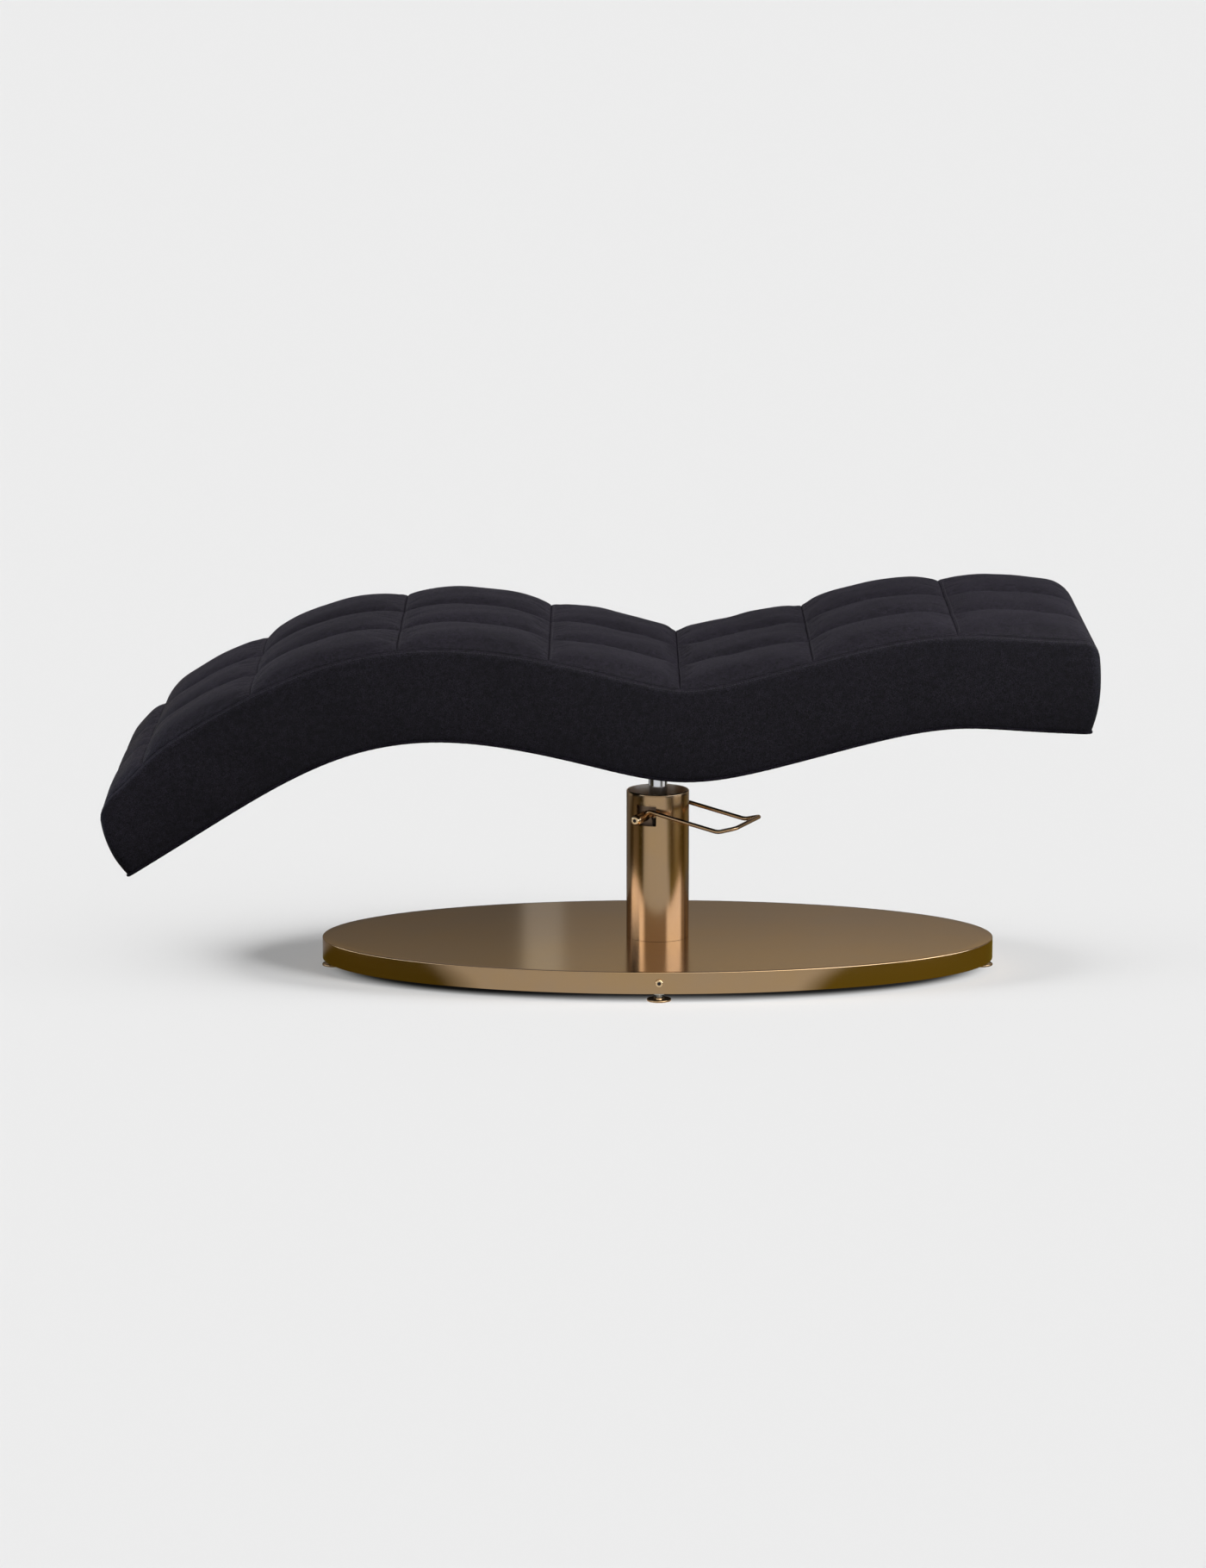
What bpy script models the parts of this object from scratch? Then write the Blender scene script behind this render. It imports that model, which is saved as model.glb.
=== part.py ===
"""Eyelash extension bed: a wave-shaped quilted lounge on a hydraulic column with an oval base.

Metres, +Z up. X runs along the bed, low end at -X. Y runs across it. Z = 0 is the floor.
Every length is measured from the column's axis unless a comment says otherwise.
"""
import bmesh
import bpy
import math
import numpy as np
from mathutils import Matrix, Vector

GAP = 0.0003                    # between two pieces that touch
OVERRUN = 0.02                  # how far a cutter runs past what it cuts
RUN_CLEARANCE = 0.0002          # radial, between a shaft and its bore
BOLT_CLEARANCE = 0.0005         # radial, between a bolt and its hole
COLUMN_X = 0.112                # the column stands this far towards the head end

# Base: a heavy oval plate hidden in a shallow pressed cover
BASE_LENGTH = 1.290
BASE_WIDTH = 0.642
BASE_TOP = 0.0585
RIM_BOTTOM = 0.017
COVER_WALL = 0.002
COVER_FILLET = 0.0025
COVER_BORE_R = 0.052
PLATE_BOTTOM = 0.021
PLATE_THICK = 0.008
PLATE_INSET = 0.005             # from the rim's outer face
RING_INSET = 0.060              # oval ring that carries the cover
RING_WALL = 0.004
OVAL_SEGMENTS = 64

# Screw that ties the rim to the plate, front and back
RIM_SCREW_Z = 0.038
RIM_SCREW_R = 0.003
RIM_SCREW_LENGTH = 0.010
RIM_HEAD_R = 0.0075
RIM_HEAD_H = 0.0042
RIM_SOCKET_R = 0.0026
SCREW_DOME_SHARES = ((0, 1), (0.6, 1), (0.9, 0.75), (1, 0.35))     # radius and height of a button head
SOCKET_FLOOR_SHARE = 0.3        # of the head's height
BLOCK_LENGTH = 0.030
BLOCK_DEPTH = 0.010
BLOCK_HEIGHT = 0.018

# Levelling feet, one at each end of the oval's two axes
FOOT_INSET = 0.022
PAD_R = 0.023
PAD_THICK = 0.004
PAD_DISH = 0.0012
PAD_BOSS_R = 0.0095
PAD_BOSS_TOP = 0.0068
STUD_R = 0.0062
STUD_TOP = 0.045
NUT_FLATS = 0.019
NUT_THICK = 0.008

# Hydraulic pump: bottom flange, cylinder, head with a gland on top
FLANGE_R = 0.085
FLANGE_THICK = 0.008
CYLINDER_R = 0.040
CYLINDER_BORE_R = 0.0255
CYLINDER_FLOOR = 0.012
CYLINDER_TOP = 0.270
HEAD_R = 0.050
HEAD_TOP = 0.3215               # well below the column's mouth, which stays open round the ram
HEAD_FLAT = 0.0425              # the milled sides that carry the pivot pins
SHELF_TOP = 0.280
FLANGE_BOLT_CIRCLE_R = 0.064
FLANGE_BOLT_R = 0.004
FLANGE_BOLT_COUNT = 4
HEX_SIDES = 6
HEX_BOLT_SIDES = 12             # a bolt's head and shank are lofted with the same count
FLANGE_BOLT_FLATS = 0.013
FLANGE_BOLT_HEAD = 0.0053
WIPER_R = 0.022
WIPER_HEIGHT = 0.007
RAM_R = 0.018
RAM_TOP = 0.395
PISTON_LENGTH = 0.022
PISTON_GROOVE = 0.0012
PISTON_GROOVE_WIDTH = 0.004

# Column cover and its cap
COLUMN_R = 0.060
COLUMN_WALL = 0.003
COLUMN_TOP = 0.345
COLUMN_FILLET = 0.0024
CAP_THICK = 0.005
WINDOW_WIDTH = 0.040
WINDOW_LOW = 0.284
WINDOW_HIGH = 0.325
WINDOW_CORNER = 0.002

# Pump lever. Its own frame: X along the arms, -Y towards the viewer, turned about Z.
LEVER_TURN = math.radians(23.0)
PIVOT_Z = 0.3045
PIN_R = 0.005
PIN_DEPTH = 0.016               # how deep each pin sits in the head
PIN_END = 0.107
HUB_R = 0.010
HUB_START = 0.063
HUB_END = 0.1095
SLEEVE_R = 0.0075
SLEEVE_START = 0.043
CHEEK_R = 0.006
CHEEK_REACH = 0.0115
LOBE_R = 0.005
LOBE_OUT = 0.0125               # the cam lobe's distance from the pivot
LOBE_WIDTH = 0.0085
ROD_R = 0.004
ARM_SPREAD = 0.070              # from the column's axis to each arm
ROD_KNEE = 0.0172               # where the cranked root of an arm turns level
CORNER_OUT = 0.155
CORNER_DROP = 0.0185
TIP_OUT = 0.184
TIP_DROP = 0.0095
TIP_SPREAD = 0.064
KNEE_BEND_R = 0.008
CORNER_BEND_R = 0.030
TIP_BEND_R = 0.012
END_SCREW_R = 0.0025
END_SCREW_LENGTH = 0.014
END_HEAD_R = 0.0085
END_HEAD_H = 0.0055
END_SOCKET_R = 0.003

# Pump plunger, its lug on the head and its return spring
PLUNGER_R = 0.003
PLUNGER_OUT = 0.0485            # from the column's axis towards the viewer
BUTTON_R = 0.0052
BUTTON_THICK = 0.003
PLUNGER_BOTTOM = 0.266
LUG_R = 0.0058
LUG_BOTTOM = 0.262
SPRING_R = 0.0043
SPRING_WIRE_R = 0.0005
SPRING_TURNS = 5
SPRING_POINTS_PER_TURN = 8
LEAST_SPRING_GAP = 0.0004

# Seat hub, mount plate, packing block and their bolts
HUB_BOTTOM = 0.378
SEAT_HUB_TOP = 0.400
SEAT_HUB_LOW_R = 0.026
SEAT_HUB_HIGH_R = 0.034
MOUNT_LENGTH = 0.160
MOUNT_WIDTH = 0.220
MOUNT_THICK = 0.006
MOUNT_CORNER = 0.012
PACK_LENGTH = 0.148
PACK_WIDTH = 0.190
PACK_HEIGHT = 0.020             # on the column's axis
MOUNT_BOLT_X = 0.054
MOUNT_BOLT_Y = 0.075
MOUNT_BOLT_R = 0.004
MOUNT_BOLT_FLATS = 0.013
MOUNT_BOLT_HEAD = 0.0053
BOLT_BELOW_DECK_TOP = 0.004

# Bed. The wave is the line of its underside, from the low end to the raised end.
BED_WIDTH = 0.660
BED_DEPTH = 0.1745
WAVE_RUN = 1.7955
WAVE_RISE = 0.283
COLUMN_AT_SHARE = 0.5525        # the column stands under this share of the run, close to the wave's dip
WAVE_SHARES = ((0, 0), (0.08, 0.317), (0.155, 0.604), (0.225, 0.807), (0.315, 0.909),
               (0.405, 0.857), (0.48, 0.7525), (0.575, 0.6445), (0.665, 0.726),
               (0.775, 0.910), (0.86, 1), (0.93, 0.9845), (1, 0.963))
WAVE_SAMPLES = 1200
PLAN_CORNER_R = 0.018
CORNER_STEPS = 2
CORNER_CLEAR_SHARE = 1.2        # no station lies nearer to an end than this many corner radii
NOSE_IN = 0.042                 # the low end's top edge leans in by this
NOSE_DOWN = 0.007
NOSE_LENGTH = 0.215
NOSE_BULGE = 0.004
NOSE_EDGE_R = 0.040             # rounding of the low end's top edge
HEAD_BULGE = 0.010
HEAD_LENGTH = 0.240
HEAD_EDGE_R = 0.027             # rounding of the raised end's top edge
SIDE_SWELL = 0.003
DUST_COVER_THICK = 0.0012
DECK_THICK = 0.015
QUILT_PAD = 0.024               # wadding under a seam
QUILT_CROWN = 0.025             # how far a block's middle stands above its crossings
BAND_THICK = 0.004
BAND_CLEARANCE = 0.0012         # foam and quilting inside the band
PIPING_R = 0.0025
QUILT_ROWS = 3
SEAM_SHARES = (0, 0.069, 0.1945, 0.3125, 0.436, 0.579, 0.744, 0.8685, 1)
SEAM_RISE_SHARE = 0.14          # an inner seam rides up between its crossings by this share of the crown
ALONG_SHARES = (0, 0.1, 0.35, 0.65, 0.9)
ACROSS_SHARES = (0, 0.11, 0.37, 0.63, 0.89)
LEVEL_SHARES = (0, 0.5, 1)
CROWN_FLATNESS = 2.6
CROWN_ROUNDNESS = 0.56

PARTS = "eyelash_extension_bed"
CUTTERS = "cutters"


def clear_scene():
    for thing in list(bpy.data.objects):
        bpy.data.objects.remove(thing, do_unlink=True)
    for name in (PARTS, CUTTERS):
        group = bpy.data.collections.get(name) or bpy.data.collections.new(name)
        if group.name not in bpy.context.scene.collection.children:
            bpy.context.scene.collection.children.link(group)


def material(name, colour, roughness, metallic=0.0):
    made = bpy.data.materials.get(name) or bpy.data.materials.new(name)
    made.use_nodes = True
    shader = made.node_tree.nodes["Principled BSDF"]
    shader.inputs["Base Color"].default_value = (*colour, 1)
    shader.inputs["Roughness"].default_value = roughness
    shader.inputs["Metallic"].default_value = metallic
    made.diffuse_color = (*colour, 1)
    return made


def bronze():
    return material("brushed bronze", (0.24, 0.15, 0.075), 0.32, 1.0)


def black_leather():
    return material("black leather", (0.022, 0.020, 0.024), 0.5)


def chrome():
    return material("hard chrome", (0.75, 0.75, 0.76), 0.12, 1.0)


def pump_steel():
    return material("pump steel", (0.16, 0.13, 0.10), 0.4, 1.0)


def black_steel():
    return material("black painted steel", (0.03, 0.03, 0.03), 0.5)


def zinc_steel():
    return material("zinc plated steel", (0.55, 0.54, 0.50), 0.35, 1.0)


def birch_ply():
    return material("birch plywood", (0.50, 0.36, 0.22), 0.6)


def upholstery_foam():
    return material("upholstery foam", (0.75, 0.70, 0.55), 0.9)


def black_cloth():
    return material("black underlining cloth", (0.015, 0.015, 0.017), 0.9)


def rubber():
    return material("black nitrile rubber", (0.02, 0.02, 0.02), 0.7)


def empty(name, location=(0, 0, 0), rotation=(0, 0, 0), parent=None):
    made = bpy.data.objects.new(name, None)
    made.location = location
    made.rotation_euler = rotation
    made.parent = parent
    bpy.data.collections[PARTS].objects.link(made)
    return made


def place(name, mesh, look, parent=None, location=(0, 0, 0), rotation=(0, 0, 0)):
    """A finished mesh as one named piece."""
    made = bpy.data.objects.new(name, mesh)
    bpy.data.collections[PARTS].objects.link(made)
    made.parent = parent
    made.location = location
    made.rotation_euler = rotation
    if look is not None:
        mesh.materials.clear()
        mesh.materials.append(look)
    return made


def as_cutter(thing):
    bpy.data.collections[PARTS].objects.unlink(thing)
    bpy.data.collections[CUTTERS].objects.link(thing)
    thing.hide_render = True
    thing.display_type = "WIRE"
    return thing


def combine(thing, tool, operation):
    step = thing.modifiers.new(operation.lower() + " " + tool.name, "BOOLEAN")
    step.operation = operation
    step.solver = "EXACT"
    step.object = as_cutter(tool)


def cut(thing, tool):
    combine(thing, tool, "DIFFERENCE")


def join(thing, tool):
    combine(thing, tool, "UNION")


def smooth(mesh, angle=math.radians(40)):
    mesh.shade_smooth()
    mesh.set_sharp_from_angle(angle=angle)


def from_bmesh(name, shape):
    mesh = bpy.data.meshes.new(name)
    shape.to_mesh(mesh)
    shape.free()
    smooth(mesh)
    return mesh


def cylinder_mesh(name, radius, low, high, segments=32):
    """An upright cylinder on its own Z axis, from low to high."""
    shape = bmesh.new()
    turn = Matrix.Translation((0, 0, (low + high) / 2))
    bmesh.ops.create_cone(shape, cap_ends=True, segments=segments, radius1=radius, radius2=radius,
                          depth=high - low, matrix=turn)
    return from_bmesh(name, shape)


def box_mesh(name, low, high):
    shape = bmesh.new()
    size = [b - a for a, b in zip(low, high)]
    middle = [(a + b) / 2 for a, b in zip(low, high)]
    bmesh.ops.create_cube(shape, size=1, matrix=Matrix.Translation(middle) @ Matrix.Diagonal((*size, 1)))
    return from_bmesh(name, shape)


def hex_bolt_mesh(name, flats, head, radius, length):
    """Hex head from 0 down to -head, shank from 0 up to length, lofted with twelve sides."""
    angles = [2 * math.pi * k / HEX_BOLT_SIDES for k in range(HEX_BOLT_SIDES)]
    corner = [1 / math.cos((a + math.pi / 6) % (math.pi / 3) - math.pi / 6) for a in angles]
    rings = [[(flats / 2 * c * math.cos(a), flats / 2 * c * math.sin(a), z) for a, c in zip(angles, corner)]
             for z in (-head, 0)]
    rings += [[(radius * math.cos(a), radius * math.sin(a), z) for a in angles] for z in (0, length)]
    return loft_mesh(name, rings)


def loft_mesh(name, rings):
    """Closed rings of equal count, joined in turn and capped at both ends."""
    shape = bmesh.new()
    rows = [[shape.verts.new(p) for p in ring] for ring in rings]
    count = len(rows[0])
    for lower, upper in zip(rows, rows[1:]):
        for k in range(count):
            n = (k + 1) % count
            shape.faces.new((lower[k], lower[n], upper[n], upper[k]))
    shape.faces.new(list(reversed(rows[0])))
    shape.faces.new(rows[-1])
    bmesh.ops.recalc_face_normals(shape, faces=shape.faces)
    return from_bmesh(name, shape)


def turned(name, profile, look, parent=None, segments=48, closed=False, rotation=(0, 0, 0)):
    """A profile of (radius, height) points, outer side from top to bottom, turned about Z."""
    mesh = bpy.data.meshes.new(name)
    edges = [(k, k + 1) for k in range(len(profile) - 1)]
    if closed:
        edges.append((len(profile) - 1, 0))
    mesh.from_pydata([(r, 0, z) for r, z in profile], edges, [])
    made = place(name, mesh, look, parent, rotation=rotation)
    spin = made.modifiers.new("turn", "SCREW")
    spin.axis = "Z"
    spin.angle = 2 * math.pi
    spin.steps = segments
    spin.render_steps = segments
    spin.use_merge_vertices = True
    spin.merge_threshold = 0.00001
    spin.use_smooth_shade = True
    return made


def fillet(centre_r, centre_z, radius, start, end, steps=3):
    """Points of an arc in a profile, angles in degrees."""
    turns = np.radians(np.linspace(start, end, steps + 1))
    return [(centre_r + radius * math.cos(t), centre_z + radius * math.sin(t)) for t in turns]


def rounded_path(points, radii, steps=5):
    """A polyline whose inner corners become arcs of the given radii."""
    points = [Vector(p) for p in points]
    path = [points[0]]
    for before, corner, after, radius in zip(points, points[1:], points[2:], radii):
        back = (before - corner).normalized()
        ahead = (after - corner).normalized()
        half = back.angle(ahead) / 2
        centre = corner + (back + ahead).normalized() * (radius / math.sin(half))
        first = corner + back * (radius / math.tan(half)) - centre
        last = corner + ahead * (radius / math.tan(half)) - centre
        path += [centre + first.slerp(last, k / steps).normalized() * radius for k in range(steps + 1)]
    return path + [points[-1]]


def wire(name, points, radius, look, parent=None, cyclic=False, resolution=2):
    """A round wire along a polyline, turned into a mesh with welded caps."""
    curve = bpy.data.curves.new(name + " line", "CURVE")
    curve.dimensions = "3D"
    curve.bevel_depth = radius
    curve.bevel_resolution = resolution
    curve.use_fill_caps = True
    line = curve.splines.new("POLY")
    line.points.add(len(points) - 1)
    for spot, point in zip(line.points, points):
        spot.co = (*point, 1)
    line.use_cyclic_u = cyclic
    guide = bpy.data.objects.new(name + " line", curve)
    bpy.data.collections[PARTS].objects.link(guide)
    shape = bmesh.new()
    baked = bpy.data.meshes.new_from_object(guide.evaluated_get(bpy.context.evaluated_depsgraph_get()))
    shape.from_mesh(baked)
    bpy.data.meshes.remove(baked)
    bpy.data.objects.remove(guide)
    bmesh.ops.remove_doubles(shape, verts=shape.verts, dist=radius / 100)
    bmesh.ops.recalc_face_normals(shape, faces=shape.faces)
    return place(name, from_bmesh(name, shape), look, parent)


# Oval base

def oval_mesh(name, inset, low, high, bottom_face=True):
    """An oval prism, inset from the base's outline."""
    shape = bmesh.new()
    bmesh.ops.create_cone(shape, cap_ends=True, segments=OVAL_SEGMENTS, radius1=1, radius2=1, depth=1)
    for vert in shape.verts:
        flat = Vector((vert.co.x, vert.co.y)).normalized()
        vert.co.x = flat.x * (BASE_LENGTH / 2 - inset)
        vert.co.y = flat.y * (BASE_WIDTH / 2 - inset)
        vert.co.z = high if vert.co.z > 0 else low
    if not bottom_face:
        under = [f for f in shape.faces if f.normal.z < 0 and len(f.verts) == OVAL_SEGMENTS]
        bmesh.ops.delete(shape, geom=under, context="FACES_ONLY")
    return from_bmesh(name, shape)


def plate_top():
    return PLATE_BOTTOM + PLATE_THICK


def foot_places():
    along = BASE_LENGTH / 2 - FOOT_INSET
    across = BASE_WIDTH / 2 - FOOT_INSET
    return {"front": (0, -across), "back": (0, across), "left": (-along, 0), "right": (along, 0)}


def build_base(column):
    cover = place("base_cover", oval_mesh("base_cover", 0, RIM_BOTTOM, BASE_TOP, False), bronze(), column)
    edge = cover.modifiers.new("pressed edge", "BEVEL")
    edge.width = COVER_FILLET
    edge.segments = 2
    edge.limit_method = "ANGLE"
    edge.angle_limit = math.radians(60)
    wall = cover.modifiers.new("sheet", "SOLIDIFY")
    wall.thickness = COVER_WALL
    wall.offset = -1
    wall.use_even_offset = True
    hole = place("cover bore", cylinder_mesh("cover bore", COVER_BORE_R, BASE_TOP - OVERRUN,
                                             BASE_TOP + OVERRUN, 48), None, column)
    cut(cover, hole)

    plate = place("base_plate", oval_mesh("base_plate", PLATE_INSET, PLATE_BOTTOM, plate_top()),
                  black_steel(), column)
    for side, (x, y) in foot_places().items():
        hole = cylinder_mesh("stud hole", STUD_R + BOLT_CLEARANCE, PLATE_BOTTOM - OVERRUN,
                             plate_top() + OVERRUN, 16)
        cut(plate, place("stud hole " + side, hole, None, column, (x, y, 0)))

    ring_top = BASE_TOP - COVER_WALL - GAP
    ring = place("cover_ring", oval_mesh("cover_ring", RING_INSET, plate_top() + GAP, ring_top),
                 black_steel(), column)
    inside = oval_mesh("ring inside", RING_INSET + RING_WALL, RIM_BOTTOM, BASE_TOP)
    cut(ring, place("ring inside", inside, None, column))

    for side, sign in (("front", -1), ("back", 1)):
        outer = BASE_WIDTH / 2 - PLATE_INSET
        low = (-BLOCK_LENGTH / 2, outer - BLOCK_DEPTH, plate_top() + GAP)
        high = (BLOCK_LENGTH / 2, outer, plate_top() + GAP + BLOCK_HEIGHT)
        turn = (0, 0, 0 if sign > 0 else math.pi)
        block = place("screw_block_" + side, box_mesh("screw_block_" + side, low, high),
                      black_steel(), column, rotation=turn)
        axis = empty("rim screw axis " + side, (0, sign * (BASE_WIDTH / 2 + GAP), RIM_SCREW_Z),
                     (-sign * math.pi / 2, 0, 0), column)
        screw = socket_screw("rim_screw_" + side, RIM_HEAD_R, RIM_HEAD_H, RIM_SCREW_R, RIM_SCREW_LENGTH,
                             RIM_SOCKET_R, bronze(), axis)
        for target in (block, cover):
            hole = cylinder_mesh("rim hole", RIM_SCREW_R + BOLT_CLEARANCE,
                                 -RIM_SCREW_LENGTH - BOLT_CLEARANCE, OVERRUN, 20)
            cut(target, place("rim hole " + side + " " + target.name, hole, None, axis))


def socket_screw(name, head_r, head_h, shank_r, shank_length, socket_r, look, parent):
    """Head above the parent's XY plane, shank below it, hex socket in a slightly domed head."""
    profile = [(head_r * r, head_h * z) for r, z in SCREW_DOME_SHARES]
    profile += [(head_r, 0), (shank_r, 0), (shank_r, -shank_length), (0, -shank_length)]
    screw = turned(name, profile, look, parent, 18)
    socket = cylinder_mesh("socket", socket_r, head_h * SOCKET_FLOOR_SHARE, head_h + OVERRUN, HEX_SIDES)
    cut(screw, place("socket " + name, socket, None, parent))
    return screw


def build_feet(column):
    nut_top = PLATE_BOTTOM - GAP
    nut = cylinder_mesh("lock nut", NUT_FLATS / math.sqrt(3), nut_top - NUT_THICK, nut_top, HEX_SIDES)
    for side, (x, y) in foot_places().items():
        axis = empty("foot axis " + side, (x, y, 0), (0, 0, 0), column)
        profile = [(0, PAD_BOSS_TOP), (PAD_BOSS_R - PAD_DISH, PAD_BOSS_TOP),
                   (PAD_BOSS_R, PAD_BOSS_TOP - PAD_DISH), (PAD_BOSS_R + PAD_DISH, PAD_THICK - PAD_DISH),
                   (PAD_R - 2 * PAD_DISH, PAD_THICK - PAD_DISH), (PAD_R - PAD_DISH, PAD_THICK),
                   (PAD_R, PAD_THICK - PAD_DISH), (PAD_R, PAD_DISH), (PAD_R - PAD_DISH, 0), (0, 0)]
        turned("foot_pad_" + side, profile, bronze(), axis, 20)
        chamfer = STUD_R / 6
        profile = [(0, STUD_TOP), (STUD_R - chamfer, STUD_TOP), (STUD_R, STUD_TOP - chamfer),
                   (STUD_R, PAD_BOSS_TOP + GAP), (0, PAD_BOSS_TOP + GAP)]
        turned("foot_stud_" + side, profile, zinc_steel(), axis, 16)
        made = place("foot_nut_" + side, nut, zinc_steel(), axis)
        hole = cylinder_mesh("nut bore", STUD_R + RUN_CLEARANCE, 0, PLATE_BOTTOM + OVERRUN, 16)
        cut(made, place("nut bore " + side, hole, None, axis))


# Pump, ram and column cover

def flange_top():
    return plate_top() + GAP + FLANGE_THICK


def piston_bottom():
    return plate_top() + GAP + CYLINDER_FLOOR + GAP


def build_pump(column, lever_frame):
    low = plate_top() + GAP
    profile = [(0, low + CYLINDER_FLOOR), (CYLINDER_BORE_R, low + CYLINDER_FLOOR),
               (CYLINDER_BORE_R, CYLINDER_TOP), (CYLINDER_R, CYLINDER_TOP), (CYLINDER_R, flange_top()),
               (FLANGE_R, flange_top()), (FLANGE_R, low), (0, low)]
    cylinder = turned("pump_cylinder", profile, pump_steel(), column, 36)
    bolt = hex_bolt_mesh("flange bolt", FLANGE_BOLT_FLATS, FLANGE_BOLT_HEAD, FLANGE_BOLT_R,
                         FLANGE_THICK + GAP + PLATE_THICK)
    for k in range(FLANGE_BOLT_COUNT):
        turn = math.pi / 4 + 2 * math.pi * k / FLANGE_BOLT_COUNT
        circle = FLANGE_BOLT_CIRCLE_R
        spot = (circle * math.cos(turn), circle * math.sin(turn), flange_top() + GAP)
        place("flange_bolt_%d" % (k + 1), bolt, zinc_steel(), column, spot, (math.pi, 0, 0))
        for target in (cylinder, bpy.data.objects["base_plate"]):
            hole = cylinder_mesh("flange hole", FLANGE_BOLT_R + BOLT_CLEARANCE, RIM_BOTTOM, BASE_TOP, 16)
            cut(target, place("flange hole %d %s" % (k, target.name), hole, None, column, (*spot[:2], 0)))

    low = CYLINDER_TOP + GAP
    bore = RAM_R + RUN_CLEARANCE
    profile = [(bore, HEAD_TOP), (HEAD_R, HEAD_TOP), (HEAD_R, low), (bore, low)]
    head = turned("pump_head", profile, pump_steel(), lever_frame, 40, closed=True)
    lug = cylinder_mesh("plunger lug", LUG_R, LUG_BOTTOM, SHELF_TOP, 20)
    join(head, place("plunger lug", lug, None, lever_frame, (LOBE_OUT, -PLUNGER_OUT, 0)))
    for side, sign in (("near", -1), ("far", 1)):
        reach = HEAD_FLAT * sign
        far = (HEAD_R + OVERRUN) * sign
        flat = box_mesh("flat", (-HEAD_R, min(reach, far), SHELF_TOP),
                        (HEAD_R, max(reach, far), HEAD_TOP + OVERRUN))
        cut(head, place("flat " + side, flat, None, lever_frame))
    hole = cylinder_mesh("plunger bore", PLUNGER_R + RUN_CLEARANCE, LUG_BOTTOM - OVERRUN,
                         SHELF_TOP + OVERRUN, 16)
    cut(head, place("plunger bore", hole, None, lever_frame, (LOBE_OUT, -PLUNGER_OUT, 0)))

    low = HEAD_TOP + GAP
    high = low + WIPER_HEIGHT
    bevel = (WIPER_R - RAM_R) / 3
    profile = [(bore, high), (WIPER_R - bevel, high), (WIPER_R, high - bevel), (WIPER_R, low), (bore, low)]
    turned("ram_wiper", profile, rubber(), column, 40, closed=True)
    return head


def build_column(column, lever_frame):
    high, low = COLUMN_TOP, BASE_TOP + GAP
    inner = COLUMN_R - COLUMN_WALL
    arc = fillet(COLUMN_R - COLUMN_FILLET, high - COLUMN_FILLET, COLUMN_FILLET, 90, 0)
    profile = [(inner, high)] + arc + [(COLUMN_R, low), (inner, low)]
    cover = turned("column_cover", profile, bronze(), column, 56, closed=True)
    window = box_mesh("window", (-WINDOW_WIDTH / 2, -COLUMN_R - OVERRUN, WINDOW_LOW),
                      (WINDOW_WIDTH / 2, COLUMN_R + OVERRUN, WINDOW_HIGH))
    window = place("window", window, None, lever_frame)
    soft = window.modifiers.new("soft corners", "BEVEL")
    soft.width = WINDOW_CORNER
    soft.segments = 2
    cut(cover, window)

    edge = CAP_THICK / 5
    outer = inner - GAP
    bore = WIPER_R + GAP
    low = HEAD_TOP + GAP
    high = low + CAP_THICK
    profile = [(bore, high), (outer - edge, high), (outer, high - edge), (outer, low), (bore, low)]
    turned("column_cap", profile, bronze(), column, 56, closed=True)


def build_ram(column, swivel):
    low = piston_bottom()
    high = low + PISTON_LENGTH
    outer = CYLINDER_BORE_R - RUN_CLEARANCE
    groove = outer - PISTON_GROOVE
    middle = (low + high) / 2
    profile = [(0, high), (outer, high), (outer, middle + PISTON_GROOVE_WIDTH / 2),
               (groove, middle + PISTON_GROOVE_WIDTH / 2), (groove, middle - PISTON_GROOVE_WIDTH / 2),
               (outer, middle - PISTON_GROOVE_WIDTH / 2), (outer, low), (0, low)]
    turned("piston", profile, pump_steel(), column, 28)
    chamfer = RAM_R / 12
    profile = [(0, RAM_TOP), (RAM_R - chamfer, RAM_TOP), (RAM_R, RAM_TOP - chamfer), (RAM_R, high + GAP),
               (0, high + GAP)]
    turned("ram", profile, chrome(), swivel, 40)


# Lever, pivot pins, plunger and spring. Z of a side frame points outwards along the pivot.

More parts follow.
